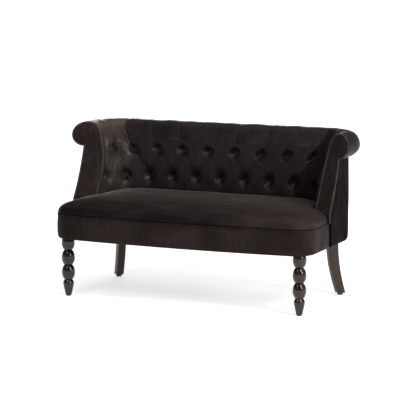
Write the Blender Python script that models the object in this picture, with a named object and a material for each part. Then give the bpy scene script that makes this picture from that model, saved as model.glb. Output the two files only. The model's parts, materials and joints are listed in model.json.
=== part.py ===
"""A two-seat settee with rolled arms, a deep-buttoned back, turned front legs and swept rear legs.

Metres, +Z up, seen from the front along +Y. The outline lengths below are measured from the line through
the two front legs (y = 0) and from the middle plane (x = 0); one parent empty then sets the origin on the
floor under the middle of the whole settee.
"""

import math

import bmesh
import bpy
from mathutils import Vector

GAP = 0.0003  # clearance between pieces that touch

# Overall outline: the top of the roll and the outside panels
OVERALL_HEIGHT = 0.705
OUTSIDE_HALF_WIDTH = 0.585
OUTSIDE_BACK_Y = 0.489
OUTSIDE_CORNER_RADIUS = 0.125
OUTSIDE_EDGE_RADIUS = 0.018
OUTSIDE_BOTTOM_RISE = 0.003  # lower edge above the seat box's lower edge
CORNER_STEPS = 8  # flats round each rounded corner

# Seat box
SEAT_SIDE_INSET = 0.010  # its sides, inside the outside panels
SEAT_FRONT_Y = -0.052  # front face beside the corners
SEAT_BOW = 0.021  # how far the middle of the front stands forward of that
SEAT_CORNER_RADIUS = 0.088
SEAT_BOTTOM_Z = 0.246
BORDER_HEIGHT = 0.101  # from the lower edge to the middle of the welt
BORDER_THICKNESS = 0.010
BORDER_EDGE_RADIUS = 0.0095
BORDER_EDGE_STEPS = 3
WELT_RADIUS = 0.0035
WELT_PROUD = 0.0025
SEAT_EDGE_RISE = 0.052  # height that the padded edge gains above the welt
SEAT_EDGE_REACH = 0.110  # over this distance from the edge
SEAT_CROWN = 0.014  # further rise to the middle of the seat
SEAT_CROWN_REACH = 0.260
SEAT_EDGE_POWER = 2.3  # how squarely the padded edge turns over
SEAT_PAD_CLEARANCE = 0.0012  # between the seat pad and the covers round it
SEAT_HIDDEN_STAND = 0.008
SEAT_CORE_MARGIN = 0.140  # from the arms' inside faces to the even middle of the seat
SEAT_CORE_SHARE = 0.72
SEAT_RINGS = (0.018, 0.045, 0.09, 0.16, 0.27, 0.42, 0.62, 0.82)  # shares of the way from the edge to the core

# Thickness of the upholstered arms and back at seat level
ARM_THICKNESS = 0.085
BACK_THICKNESS = 0.073
INSIDE_CORNER_RADIUS = 0.130

# Rolled top, one height all round
ROLL_INSET = 0.005  # middle of the roll, inside the outside panels
ROLL_CORNER_RADIUS = 0.125
ROLL_RADIUS = 0.052
ROLL_JOIN_DEGREES = 14.0  # where the inside face runs into the roll, above the roll's middle
LEAN_START_RISE = 0.0332  # height above the seat at which the inside face starts to lean
LEAN_POWER = 2.2

# The frame behind the covers
SIDE_PANEL_THICKNESS = 0.0203
BACK_PANEL_THICKNESS = 0.0080
FRAME_CORNER_RADIUS = 0.115
FRAME_THICKNESS = 0.022

# Arm fronts: one swept surface, raked back and turned inwards
FRONT_FOOT_INSET = 0.044  # its reference point at the foot, inside the outside panels
FRONT_FOOT_Y = 0.195
FRONT_FOOT_RISE = 0.039  # above the seat welt
FRONT_SKEW_DEGREES = 31.0  # turned towards the middle
FRONT_RAKE_DEGREES = 33.2  # leaning back at the foot
FRONT_UPRIGHT_RISE = 0.3915  # the lean would be gone at this height above the foot
FRONT_UNDERCUT_DEGREES = 6.3  # running back again below the foot
FACING_THICKNESS = 0.007
FACING_RISE = 0.005  # foot of the facings above the seat welt
FACING_RECESS = 0.0015
FACING_CLEARANCE = 0.0006  # behind the curved facings
ARM_REFERENCE_LEAD = 0.045

# Deep buttoning
BUTTON_ROW_DROP = 0.073  # top row below the middle of the roll
BUTTON_ROW_RISE = 0.0512  # low row above the seat
BUTTON_MARGIN = 0.0192  # last button of the low row before the end of the corner
BUTTON_RADIUS = 0.012
BUTTON_HEIGHT = 0.008
BUTTON_SINK = 0.021
BUTTON_OUTLINE = ((0.0, 0.86), (0.35, 1.0), (0.75, 0.80), (1.0, 0.38))  # shares of the height and the radius
BUTTON_SIDES = 10
BUTTON_WELL_LENGTH = 0.060
TOP_ROW_COUNT = 10
LOW_ROW_COUNT = 11
PUFF_LIFT = 0.011
PUFF_POWER = 0.6  # how squarely the stuffing turns down into a pleat
PLEAT_DEPTH = 0.017
PLEAT_DEPTH_ON_ROLL = 0.007
SEAM_GAP = 0.0008
SEAM_STEPS = 3  # the seam between back and arm covers lies this many pitches out on the low row
SMOOTH_FRONT_MARGIN = 0.022
RELIEF_RISE = 0.030  # height over which the stuffing swells out above the seat
RELIEF_SETTLE = 0.060  # height over which it settles again below the roll
PAD_COLUMN_STEPS = 3  # columns of faces for each half pitch

# Seat frame
RAIL_RISE = 0.004  # rails above the lower edge of the cover
RAIL_DROP = 0.012  # rails below the seat welt
RAIL_THICKNESS = 0.038
RAIL_BOW_STEPS = 8
FRONT_BLOCK_WIDTH = 0.120
FRONT_BLOCK_DEPTH = 0.112
STRETCHER_WIDTH = 0.038
STRETCHER_HEIGHT = 0.050
REAR_POST_DEGREES = (22.0, 60.0)
REAR_POST_STEPS = 4
ARM_POST_DEPTH = 0.045
CENTRE_POST_WIDTH = 0.040
TOP_RAIL_INNER = 0.032
TOP_RAIL_OUTER = 0.028
TOP_RAIL_DROP = 0.025  # underside below the middle of the roll
TOP_RAIL_THICKNESS = 0.024
TOP_RAIL_CLEARANCE = 0.0015  # between the bent rail and the channel of the covers
TOP_RAIL_EASE = 0.012  # height over which the covers slope back under that rail
TOP_RAIL_LANDING = 0.016  # the covers' hidden side runs straight up to this far below the rail
WEBBING_THICKNESS = 0.0015
WEBBING_WIDTH = 0.050
WEBBING_LANDING = 0.012
SEAT_STRAP_MARGIN = 0.025  # outermost deep straps' field, inside the arms' inside faces
BACK_STRAP_FOOT = 0.020
BACK_STRAP_MARGIN = 0.030
BACK_STRAP_END = 0.010
SEAT_DEEP_STRAP_COUNT = 8
SEAT_WIDE_STRAP_COUNT = 3
BACK_UPRIGHT_STRAP_COUNT = 7
BACK_WIDE_STRAP_COUNT = 2
DUST_COVER_THICKNESS = 0.001
DUST_COVER_MARGIN = 0.0025  # inside the border strip
DUST_COVER_BACK_INSET = 0.002

# Front legs: a stack of beads over a tapered foot
FRONT_LEG_INSET = 0.055  # from the seat box's side
BEAD_RADIUS = 0.0265
NECK_RADIUS = 0.0155
BEAD_PITCH = 0.0626
FOOT_NECK_Z = 0.0698
FOOT_SHOULDER_RADIUS = 0.0215
FOOT_SHOULDER_Z = 0.0550
FOOT_TIP_RADIUS = 0.0110
FOOT_TIP_BEVEL = 0.003
# Foot profile in shares of the shoulder's radius and height
FOOT_OUTLINE = ((0.82, 0.55), (0.97, 0.88), (1.0, 1.0), (0.94, 1.11))
BEAD_COUNT = 3
BEAD_STEPS = 8
LEG_CROWN_RADIUS = 0.0223
TURNED_SIDES = 20
STUD_RADIUS = 0.004
STUD_LENGTH = 0.030
STUD_ROOT = 0.010  # how far the stud runs into the leg
STUD_SIDES = 12
FRONT_GLIDE_RADIUS = 0.009
FRONT_GLIDE_HEIGHT = 0.003

# Rear legs: swept out along the corner diagonals
REAR_LEG_SIDE_INSET = 0.0727  # middle of the top, inside the frame's side
REAR_LEG_BACK_INSET = 0.0315  # and inside its back
REAR_LEG_SPLAY = 0.040
REAR_LEG_THICKNESS = 0.034
REAR_LEG_TOP_DEPTH = 0.046
REAR_LEG_FOOT_DEPTH = 0.036
REAR_LEG_EDGE = 0.003
REAR_LEG_STEPS = 10
REAR_GLIDE_RADIUS = 0.012
REAR_GLIDE_HEIGHT = 0.0087
GLIDE_SIDES = 14
GLIDE_EASE = (0.85, 0.4)  # eased lower edge, in shares of the radius and the height

# Outlines that follow from the sizes above
INSIDE_HALF_WIDTH = OUTSIDE_HALF_WIDTH - ARM_THICKNESS
INSIDE_BACK_Y = OUTSIDE_BACK_Y - BACK_THICKNESS
ROLL_HALF_WIDTH = OUTSIDE_HALF_WIDTH - ROLL_INSET
ROLL_BACK_Y = OUTSIDE_BACK_Y - ROLL_INSET
FRAME_HALF_WIDTH = OUTSIDE_HALF_WIDTH - SIDE_PANEL_THICKNESS
FRAME_BACK_Y = OUTSIDE_BACK_Y - BACK_PANEL_THICKNESS
SEAT_HALF_WIDTH = OUTSIDE_HALF_WIDTH - SEAT_SIDE_INSET
SEAT_CORE_HALF_WIDTH = INSIDE_HALF_WIDTH - SEAT_CORE_MARGIN
SEAT_STRAP_SPREAD = INSIDE_HALF_WIDTH - SEAT_STRAP_MARGIN
FRONT_FOOT_X = OUTSIDE_HALF_WIDTH - FRONT_FOOT_INSET
FRONT_LEG_X = SEAT_HALF_WIDTH - FRONT_LEG_INSET
FRONT_BLOCK_INNER_X = SEAT_HALF_WIDTH - FRONT_BLOCK_WIDTH
FRONT_BLOCK_BACK_Y = SEAT_FRONT_Y + FRONT_BLOCK_DEPTH
REAR_LEG_TOP_X = FRAME_HALF_WIDTH - REAR_LEG_SIDE_INSET
REAR_LEG_TOP_Y = FRAME_BACK_Y - REAR_LEG_BACK_INSET
DUST_COVER_INSET = BORDER_THICKNESS + DUST_COVER_MARGIN
ARM_REFERENCE_Y = FRONT_FOOT_Y - ARM_REFERENCE_LEAD  # stations of all plan lines agree here

# Heights that follow from them
ROLL_Z = OVERALL_HEIGHT - ROLL_RADIUS
SEAT_WELT_Z = SEAT_BOTTOM_Z + BORDER_HEIGHT
OUTSIDE_BOTTOM_Z = SEAT_BOTTOM_Z + OUTSIDE_BOTTOM_RISE
RAIL_BOTTOM_Z = SEAT_BOTTOM_Z + RAIL_RISE
RAIL_TOP_Z = SEAT_WELT_Z - RAIL_DROP
PAD_BOTTOM_Z = RAIL_TOP_Z + WEBBING_THICKNESS + 2 * GAP
LEG_TOP_Z = RAIL_BOTTOM_Z - DUST_COVER_THICKNESS - 2 * GAP
FRONT_FOOT_Z = SEAT_WELT_Z + FRONT_FOOT_RISE
FACING_BOTTOM_Z = SEAT_WELT_Z + FACING_RISE
SEAT_LEDGE_Z = SEAT_WELT_Z + WELT_RADIUS + GAP
SEAT_TOP_Z = SEAT_LEDGE_Z + SEAT_EDGE_RISE + SEAT_CROWN
LEAN_START_Z = SEAT_TOP_Z + LEAN_START_RISE
BUTTON_ROW_LOW_Z = SEAT_TOP_Z + BUTTON_ROW_RISE
BUTTON_ROW_TOP_Z = ROLL_Z - BUTTON_ROW_DROP
TOP_RAIL_BOTTOM_Z = ROLL_Z - TOP_RAIL_DROP
ROLL_JOIN = math.radians(ROLL_JOIN_DEGREES)
ROLL_JOIN_Z = ROLL_Z + ROLL_RADIUS * math.sin(ROLL_JOIN)

# Other values that follow from them
FRONT_SKEW = math.tan(math.radians(FRONT_SKEW_DEGREES))
FRONT_RAKE = math.tan(math.radians(FRONT_RAKE_DEGREES))
FRONT_UNDERCUT = math.tan(math.radians(FRONT_UNDERCUT_DEGREES))
FRONT_REACH_Y = SEAT_FRONT_Y - SEAT_BOW - WELT_PROUD
REAR_REACH_Y = ROLL_BACK_Y + ROLL_RADIUS
MIDDLE_Y = (FRONT_REACH_Y + REAR_REACH_Y) / 2
FRONT_SLANT = math.sqrt(1 + FRONT_SKEW ** 2 + FRONT_RAKE ** 2)  # y travelled for each metre through the front
FACING_BACK = FACING_THICKNESS + FACING_CLEARANCE
WELT_SEAT = FACING_BACK - (WELT_RADIUS + 3 * GAP) * FRONT_SLANT  # middle of the facing welt
WELT_STAND = WELT_RADIUS * FRONT_SLANT - WELT_SEAT
BACK_FACE_INSET = FRAME_THICKNESS + WEBBING_THICKNESS + 2 * GAP

# Plan lines, each as half width, back y and corner radius
INSIDE_LINE = (INSIDE_HALF_WIDTH, INSIDE_BACK_Y, INSIDE_CORNER_RADIUS)
ROLL_LINE = (ROLL_HALF_WIDTH, ROLL_BACK_Y, ROLL_CORNER_RADIUS)
OUTSIDE_LINE = (OUTSIDE_HALF_WIDTH, OUTSIDE_BACK_Y, OUTSIDE_CORNER_RADIUS)
FRAME_LINE = (FRAME_HALF_WIDTH, FRAME_BACK_Y, FRAME_CORNER_RADIUS)

# Stations along a plan line, from 0 at the middle of the back
BACK_END = 1.0
TURN_END = 2.0

# Distances along the inside line from the middle of the back, and the spacing of the buttons on it
CORNER_START = INSIDE_HALF_WIDTH - INSIDE_CORNER_RADIUS
CORNER_END = CORNER_START + INSIDE_CORNER_RADIUS * math.pi / 2
ARM_REFERENCE_LENGTH = INSIDE_BACK_Y - INSIDE_CORNER_RADIUS - ARM_REFERENCE_Y
BUTTON_PITCH = (CORNER_END - BUTTON_MARGIN) / (LOW_ROW_COUNT // 2)


def inset_line(line, inset):
    """The plan line moved towards the seat by inset."""
    half_width, back_y, radius = line
    return (half_width - inset, back_y - inset, radius - inset)


PAD_BACK_LINE = inset_line(FRAME_LINE, BACK_FACE_INSET)
PANEL_INNER_LINE = inset_line(FRAME_LINE, -GAP)


# Materials and objects

def finish(name, colour, roughness, metallic=0.0):
    material = bpy.data.materials.new(name)
    material.use_nodes = True
    shader = material.node_tree.nodes["Principled BSDF"]
    shader.inputs["Base Color"].default_value = (*colour, 1.0)
    shader.inputs["Roughness"].default_value = roughness
    shader.inputs["Metallic"].default_value = metallic
    material.diffuse_color = (*colour, 1.0)
    return material


def new_object(name, data, material):
    obj = bpy.data.objects.new(name, data)
    obj.parent = datum
    if material:
        data.materials.append(material)
    bpy.context.scene.collection.objects.link(obj)
    return obj


def mesh_object(name, points, faces, material, smooth_angle=None):
    """A mesh object whose faces are turned to point out."""
    mesh = bpy.data.meshes.new(name)
    mesh.from_pydata([tuple(p) for p in points], [], faces)
    bm = bmesh.new()
    bm.from_mesh(mesh)
    bmesh.ops.recalc_face_normals(bm, faces=bm.faces)
    bmesh.ops.triangulate(bm, faces=[f for f in bm.faces if len(f.verts) > 4], ngon_method="BEAUTY")
    bm.to_mesh(mesh)
    bm.free()
    if smooth_angle:
        mesh.shade_smooth()
        mesh.set_sharp_from_angle(angle=math.radians(smooth_angle))
    return new_object(name, mesh, material)


def end_faces(size, first, strips):
    """Faces that close a ring: strips across it from its open end, then one face for the rest."""
    faces = [(i, i + 1, size - 2 - i, size - 1 - i) for i in range(strips)]
    faces.append(tuple(range(strips, size - strips)))
    return [tuple(first + i for i in face) for face in faces]


def loft(name, rings, material, smooth_angle=None, strips=0):
    """A solid through rings of equal length, each a closed loop of points, with both ends closed."""
    size = len(rings[0])
    points = [p for ring in rings for p in ring]
    faces = end_faces(size, 0, strips) + end_faces(size, len(points) - size, strips)
    for r in range(len(rings) - 1):
        for i in range(size):
            j = (i + 1) % size
            faces.append((r * size + i, r * size + j, (r + 1) * size + j, (r + 1) * size + i))
    return mesh_object(name, points, faces, material, smooth_angle)


def prism(name, outline, low, high, material, smooth_angle=None):
    """An outline of (x, y) points extruded from one height to another."""
    rings = [[(x, y, z) for x, y in outline] for z in (low, high)]
    return loft(name, rings, material, smooth_angle)


def turned(name, profile, sides, material, smooth_angle=35.0):
    """A round piece about Z through (radius, z) points that start and end on the axis."""
    mesh = bpy.data.meshes.new(name)
    bm = bmesh.new()
    line = [bm.verts.new((radius, 0.0, z)) for radius, z in profile]
    edges = [bm.edges.new(pair) for pair in zip(line, line[1:])]
    bmesh.ops.spin(bm, geom=line + edges, cent=(0, 0, 0), axis=(0, 0, 1), dvec=(0, 0, 0),
                   angle=2 * math.pi, steps=sides, use_merge=True, use_duplicate=False)
    bmesh.ops.remove_doubles(bm, verts=bm.verts, dist=1e-6)
    bmesh.ops.recalc_face_normals(bm, faces=bm.faces)
    bm.to_mesh(mesh)
    bm.free()
    mesh.shade_smooth()
    mesh.set_sharp_from_angle(angle=math.radians(smooth_angle))
    return new_object(name, mesh, material)


def tube(name, points, radius, material):
    """A cord through the points, with closed ends."""
    curve = bpy.data.curves.new(name, "CURVE")
    curve.dimensions = "3D"
    curve.bevel_depth = radius
    curve.bevel_resolution = 1
    curve.use_fill_caps = True
    spline = curve.splines.new("POLY")
    spline.points.add(len(points) - 1)
    for slot, p in zip(spline.points, points):
        slot.co = (*p, 1.0)
    return new_object(name, curve, material)


def hidden_cutter(name, points, faces):
    cutter = mesh_object(name, points, faces, None)
    cutter.hide_render = True
    cutter.display_type = "WIRE"
    return cutter


def cut(obj, cutter, operation="DIFFERENCE"):
    modifier = obj.modifiers.new(cutter.name, "BOOLEAN")
    modifier.object = cutter
    modifier.operation = operation
    modifier.solver = "EXACT"


def mirrored(side):
    """Name ending and sign for the left (-1) or right (+1) piece, as seen by someone facing the settee."""
    return ("left", -1.0) if side < 0 else ("right", 1.0)


def lerp(a, b, t):
    return a + (b - a) * t


def smoothstep(t):
    t = min(1.0, max(0.0, t))
    return t * t * (3 - 2 * t)


# Plan lines of the back and arms

def plan(line, station):
    """Point and inward normal at a station of a plan line."""
    half_width, back_y, radius = line
    side = -1.0 if station < 0 else 1.0
    t = abs(station)
    straight = half_width - radius
    centre_y = back_y - radius
    if t <= BACK_END:
        return Vector((side * straight * t, back_y, 0.0)), Vector((0.0, -1.0, 0.0))
    if t <= TURN_END:
        angle = (t - BACK_END) * math.pi / 2
        outward = Vector((math.sin(angle), math.cos(angle), 0.0))
        point = Vector((straight, centre_y, 0.0)) + outward * radius
        return Vector((side * point.x, point.y, 0.0)), Vector((-side * outward.x, -outward.y, 0.0))
    y = lerp(centre_y, ARM_REFERENCE_Y, t - TURN_END)
    return Vector((side * half_width, y, 0.0)), Vector((-side, 0.0, 0.0))


def station_at(s):
    """Station whose distance along the inside line, from the middle of the back, is s."""
    side = -1.0 if s < 0 else 1.0
    s = abs(s)
    if s <= CORNER_START:
        return side * s / CORNER_START
    if s <= CORNER_END:
        return side * (BACK_END + (s - CORNER_START) / (CORNER_END - CORNER_START))
    return side * (TURN_END + (s - CORNER_END) / ARM_REFERENCE_LENGTH)


def front_y(x, z):
    """The swept surface of the arm fronts: its y at a half width and a height."""
    up = z - FRONT_FOOT_Z
    skew = -FRONT_SKEW * (abs(x) - FRONT_FOOT_X)
    if up < 0:
        return FRONT_FOOT_Y + skew - FRONT_UNDERCUT * up
    return FRONT_FOOT_Y + skew + FRONT_RAKE * up * (1 - up / (2 * FRONT_UPRIGHT_RISE))


def trimmed_station(point_of, offset, side, low=BACK_END, high=TURN_END + 1.0):
    """Station where point_of(station) meets the arm front surface moved back by offset."""
    for _ in range(40):
        middle = (low + high) / 2
        p = point_of(side * middle)
        if p.y > front_y(p.x, p.z) + offset:
            low = middle
        else:
            high = middle
    return side * (low + high) / 2


# The buttoned inside covers

def pleat_distance(s, z):
    """Distance across the cover to the nearest pleat: 0 on a pleat, half a pitch midway between two."""
    drop = (BUTTON_ROW_TOP_Z - z) / (BUTTON_ROW_TOP_Z - BUTTON_ROW_LOW_Z)
    drop = min(1.0, max(0.0, drop))
    phase = (s / BUTTON_PITCH - 0.5) % 1.0
    nearest = min(abs(phase - drop / 2), abs(phase - 1 + drop / 2))
    return nearest * BUTTON_PITCH


def puff(s, z):
    """Roundness of the stuffing between pleats, 0 to 1."""
    t = min(1.0, pleat_distance(s, z) / (BUTTON_PITCH / 2))
    return (1 - (1 - t) ** 2) ** PUFF_POWER


def face_point(station, z):
    """Point of the inside face before stuffing, and its inward direction."""
    base, normal = plan(INSIDE_LINE, station)
    crown, crown_normal = plan(ROLL_LINE, station)
    crown = crown + crown_normal * ROLL_RADIUS * math.cos(ROLL_JOIN)
    lean = max(0.0, (z - LEAN_START_Z) / (ROLL_JOIN_Z - LEAN_START_Z)) ** LEAN_POWER
    point = base.lerp(crown, lean)
    return Vector((point.x, point.y, z)), normal


def roll_point(station, turn, shrink=0.0):
    """Point on the rolled top, turn being the angle from its inner side, over the top, to its outer side."""
    centre, normal = plan(ROLL_LINE, station)
    radius = ROLL_RADIUS - shrink
    point = centre + normal * radius * math.cos(turn)
    return Vector((point.x, point.y, ROLL_Z + radius * math.sin(turn)))


def face_relief(s, z, edge_distance):
    """How far the stuffed face stands in front of the plain one."""
    rise = smoothstep((z - SEAT_TOP_Z) / RELIEF_RISE)
    settle = smoothstep((ROLL_JOIN_Z - z) / RELIEF_SETTLE)
    edge = smoothstep(edge_distance / SMOOTH_FRONT_MARGIN)
    lift = PUFF_LIFT * rise * settle * edge
    depth = lerp(PLEAT_DEPTH_ON_ROLL, PLEAT_DEPTH, settle) * rise * edge
    return lift - depth * (1 - puff(s, z))


ROLL_PLEAT_END = math.radians(190)  # turn at which the pleats over the roll have run out
ROLL_PLEAT_FADE = math.radians(150)


def roll_relief(s, turn, edge_distance):
    fade = smoothstep((ROLL_PLEAT_END - turn) / ROLL_PLEAT_FADE)
    edge = smoothstep(edge_distance / SMOOTH_FRONT_MARGIN)
    return PLEAT_DEPTH_ON_ROLL * fade * edge * (1 - puff(s, BUTTON_ROW_TOP_Z))


def seam_s(z):
    """Where the back cover meets an arm cover: down one pleat, along a diagonal and up the next."""
    low = SEAM_STEPS * BUTTON_PITCH
    high = (SEAM_STEPS + 0.5) * BUTTON_PITCH
    return lerp(low, high, min(1.0, max(0.0, (z - BUTTON_ROW_LOW_Z) / (BUTTON_ROW_TOP_Z - BUTTON_ROW_LOW_Z))))


def even(low, high, count):
    """Count values after low, up to and with high."""
    return [lerp(low, high, (i + 1) / count) for i in range(count)]


FACE_LEVELS = ([PAD_BOTTOM_Z, FRONT_FOOT_Z, SEAT_TOP_Z + GAP] + even(SEAT_TOP_Z + GAP, BUTTON_ROW_LOW_Z, 3)
               + even(BUTTON_ROW_LOW_Z, BUTTON_ROW_TOP_Z, 5)
               + even(BUTTON_ROW_TOP_Z, ROLL_JOIN_Z, 4)[:-1])
HIDDEN_LEVELS = [z for z in FACE_LEVELS if z < TOP_RAIL_BOTTOM_Z - TOP_RAIL_LANDING]
ROLL_TURNS = [math.radians(a) for a in (ROLL_JOIN_DEGREES, 40, 66, 90, 120, 150, 180, 219, 258)]


def frame_point(line, station, z, outward=0.0):
    point, normal = plan(line, station)
    point = point - normal * outward
    return Vector((point.x, point.y, z))


def cover_levels():
    """The closed section of an inside cover as functions of (station, s, distance to the arm front)."""
    def face(z):
        def at(station, s, edge):
            point, normal = face_point(station, z)
            return point + normal * face_relief(s, z, edge)
        return at

    def roll(turn):
        return lambda station, s, edge: roll_point(station, turn, roll_relief(s, turn, edge))

    def under(station, s, edge):
        point = frame_point(PANEL_INNER_LINE, station, 0.0)
        centre, normal = plan(ROLL_LINE, station)
        across = (point - centre).dot(normal)
        point.z = ROLL_Z - math.sqrt(max(0.0, ROLL_RADIUS ** 2 - across ** 2))
        return point

    def plain(line, z, outward=0.0):
        return lambda station, s, edge: frame_point(line, station, z, outward)

    def under_rail(station, s, edge):
        """The hidden side slopes in under the rail along the back and steps in square on the arms."""
        ease = TOP_RAIL_EASE * min(1.0, max(0.0, TURN_END - abs(station)))
        return frame_point(PAD_BACK_LINE, station, rail_under - ease)

    rail_under = TOP_RAIL_BOTTOM_Z - GAP
    rail_over = TOP_RAIL_BOTTOM_Z + TOP_RAIL_THICKNESS + GAP
    channel_outer = TOP_RAIL_OUTER + TOP_RAIL_CLEARANCE
    channel_inner = -TOP_RAIL_INNER - TOP_RAIL_CLEARANCE
    levels = [(z, face(z)) for z in FACE_LEVELS]
    levels += [(ROLL_Z, roll(turn)) for turn in ROLL_TURNS]
    levels += [
        (ROLL_Z, under),
        (ROLL_Z, plain(PANEL_INNER_LINE, rail_under)),
        (ROLL_Z, plain(ROLL_LINE, rail_under, channel_outer)),
        (ROLL_Z, plain(ROLL_LINE, rail_over, channel_outer)),
        (ROLL_Z, plain(ROLL_LINE, rail_over, channel_inner)),
        (ROLL_Z, plain(ROLL_LINE, rail_under, channel_inner)),
        (ROLL_Z, under_rail),
    ]
    levels += [(z, plain(PAD_BACK_LINE, z)) for z in reversed(HIDDEN_LEVELS)]
    return levels


def thin_hidden_faces(obj):
    """Joins the flat strips on the hidden side, where no shape is lost."""
    bm = bmesh.new()
    bm.from_mesh(obj.data)
    bmesh.ops.dissolve_limit(bm, angle_limit=math.radians(0.6), verts=bm.verts, edges=bm.edges)
    bmesh.ops.triangulate(bm, faces=[f for f in bm.faces if len(f.verts) > 4], ngon_method="BEAUTY")
    bm.to_mesh(obj.data)
    bm.free()


def inside_back_cover():
    levels = cover_levels()
    columns = 2 * PAD_COLUMN_STEPS * (2 * SEAM_STEPS + 1)
    rings = []
    for c in range(columns + 1):
        t = -1 + 2 * c / columns
        ring = []
        for z, at in levels:
            reach = seam_s(z) - SEAM_GAP / 2
            s = reach * t
            ring.append(at(station_at(s), s, 1.0))
        rings.append(ring)
    pad = loft("inside_back_pad", rings, velvet, 50, len(HIDDEN_LEVELS) - 1)
    thin_hidden_faces(pad)
    reach = seam_s(BUTTON_ROW_TOP_Z) + BUTTON_RADIUS
    sink_buttons(pad, -reach, reach)


def inside_arm_cover(side):
    word, sign = mirrored(side)
    aligned, spread = 2 * PAD_COLUMN_STEPS, 11
    rows = []
    for z, at in cover_levels():
        start = seam_s(z) + SEAM_GAP / 2
        aligned_end = seam_s(z) + BUTTON_PITCH

        def bare(station, at=at):
            return at(station, 0.0, 0.0)

        end = abs(trimmed_station(bare, FACING_BACK, sign))
        turn = abs(station_at(aligned_end))
        columns = [abs(station_at(lerp(start, aligned_end, i / aligned))) for i in range(aligned)]
        columns += [turn] + even(turn, end, spread)
        row = []
        for station in columns:
            s = distance_at(station)
            row.append(at(sign * station, sign * s, distance_at(end) - s))
        rows.append(row)
    rings = [[row[c] for row in rows] for c in range(len(rows[0]))]
    pad = loft("inside_arm_pad_" + word, rings, velvet, 50, len(HIDDEN_LEVELS) - 1)
    thin_hidden_faces(pad)
    near, far = seam_s(BUTTON_ROW_LOW_Z) - BUTTON_RADIUS, CORNER_END + BUTTON_PITCH
    sink_buttons(pad, min(sign * near, sign * far), max(sign * near, sign * far))


def distance_at(station):
    """Distance along the inside line for a positive station."""
    if station <= BACK_END:
        return station * CORNER_START
    if station <= TURN_END:
        return lerp(CORNER_START, CORNER_END, station - BACK_END)
    return CORNER_END + (station - TURN_END) * ARM_REFERENCE_LENGTH


def button_places():
    """Name ending, distance along the cover, bottom of the recess and inward direction of each button."""
    rows = (("top", BUTTON_ROW_TOP_Z, TOP_ROW_COUNT), ("low", BUTTON_ROW_LOW_Z, LOW_ROW_COUNT))
    for row, z, count in rows:
        for i in range(count):
            s = (i - (count - 1) / 2) * BUTTON_PITCH
            point, normal = face_point(station_at(s), z)
            yield f"{row}_{i + 1:02d}", s, point - normal * BUTTON_SINK, normal


def disc_points(centre, axis, radius, sides, heights):
    """Rings of points round an axis, one for each (height, radius share)."""
    turn = axis.to_track_quat("Z", "Y").to_matrix()
    points = []
    for height, share in heights:
        for i in range(sides):
            a = 2 * math.pi * i / sides
            across = Vector((math.cos(a), math.sin(a), 0.0)) * radius * share
            points.append(centre + turn @ (across + Vector((0.0, 0.0, height))))
    return points


def ring_faces(sides, rings, offset=0):
    faces = [tuple(offset + i for i in range(sides)),
             tuple(offset + (rings - 1) * sides + i for i in range(sides))]
    for r in range(rings - 1):
        for i in range(sides):
            j = (i + 1) % sides
            faces.append(tuple(offset + k for k in (r * sides + i, r * sides + j, (r + 1) * sides + j,
                                                    (r + 1) * sides + i)))
    return faces


def buttons():
    heights = [(BUTTON_HEIGHT * rise, share) for rise, share in BUTTON_OUTLINE]
    for ending, _, place, normal in button_places():
        dome = disc_points(place, normal, BUTTON_RADIUS, BUTTON_SIDES, heights)
        mesh_object("button_" + ending, dome, ring_faces(BUTTON_SIDES, len(heights)), velvet, 60)


def sink_buttons(cover, low, high):
    """Cuts a round seat into a cover for each button whose distance along it lies between low and high."""
    points, faces = [], []
    ends = [(0.0, 1.0), (BUTTON_WELL_LENGTH, 1.0)]
    for _, s, place, normal in button_places():
        if low < s < high:
            faces += ring_faces(BUTTON_SIDES, 2, len(points))
            points += disc_points(place - normal * GAP, normal, BUTTON_RADIUS + 2 * GAP, BUTTON_SIDES, ends)
    cut(cover, hidden_cutter(cover.name + "_recesses", points, faces))


# Outside panels

PANEL_LEVELS = [FRONT_FOOT_Z] + even(FRONT_FOOT_Z, ROLL_Z - ROLL_RADIUS - GAP, 6)
PANEL_EDGE_SHARE = 0.25  # where the rounded lower edge starts, as a share of the panel's thickness
PANEL_EDGE_STEPS = 4
PANEL_STEPS = 4  # columns of faces across the outside back


def panel_section():
    """Rows of the panel section: (share of the way from inner to outer line, height)."""
    rows = [(0.0, z) for z in reversed(PANEL_LEVELS)]
    rows += [(0.0, OUTSIDE_BOTTOM_Z), (PANEL_EDGE_SHARE, OUTSIDE_BOTTOM_Z)]
    for i in range(1, PANEL_EDGE_STEPS + 1):
        a = math.pi / 2 * i / PANEL_EDGE_STEPS
        rise = OUTSIDE_EDGE_RADIUS * (1 - math.cos(a))
        rows.append((lerp(PANEL_EDGE_SHARE, 1.0, math.sin(a)), OUTSIDE_BOTTOM_Z + rise))
    return rows + [(1.0, z) for z in PANEL_LEVELS]


def panel_point(share, z):
    def at(station):
        inner = frame_point(PANEL_INNER_LINE, station, z)
        outer = frame_point(OUTSIDE_LINE, station, z)
        return inner.lerp(outer, share)
    return at


def outside_back_panel():
    end = BACK_END - GAP / (OUTSIDE_HALF_WIDTH - OUTSIDE_CORNER_RADIUS)
    stations = [-end] + even(-end, end, PANEL_STEPS)
    rings = [[panel_point(share, z)(t) for share, z in panel_section()] for t in stations]
    return loft("outside_back_panel", rings, velvet, 50)


def outside_arm_panel(side):
    word, sign = mirrored(side)
    bend = [BACK_END + GAP] + even(BACK_END, TURN_END, CORNER_STEPS)
    rows = []
    for share, z in panel_section():
        at = panel_point(share, z)
        end = abs(trimmed_station(at, FACING_BACK, sign))
        stations = bend + even(TURN_END, end, 3)
        rows.append([at(sign * station) for station in stations])
    rings = [[row[c] for row in rows] for c in range(len(rows[0]))]
    return loft("outside_arm_panel_" + word, rings, velvet, 50, len(PANEL_LEVELS) - 1)


# Arm front facings

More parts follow.
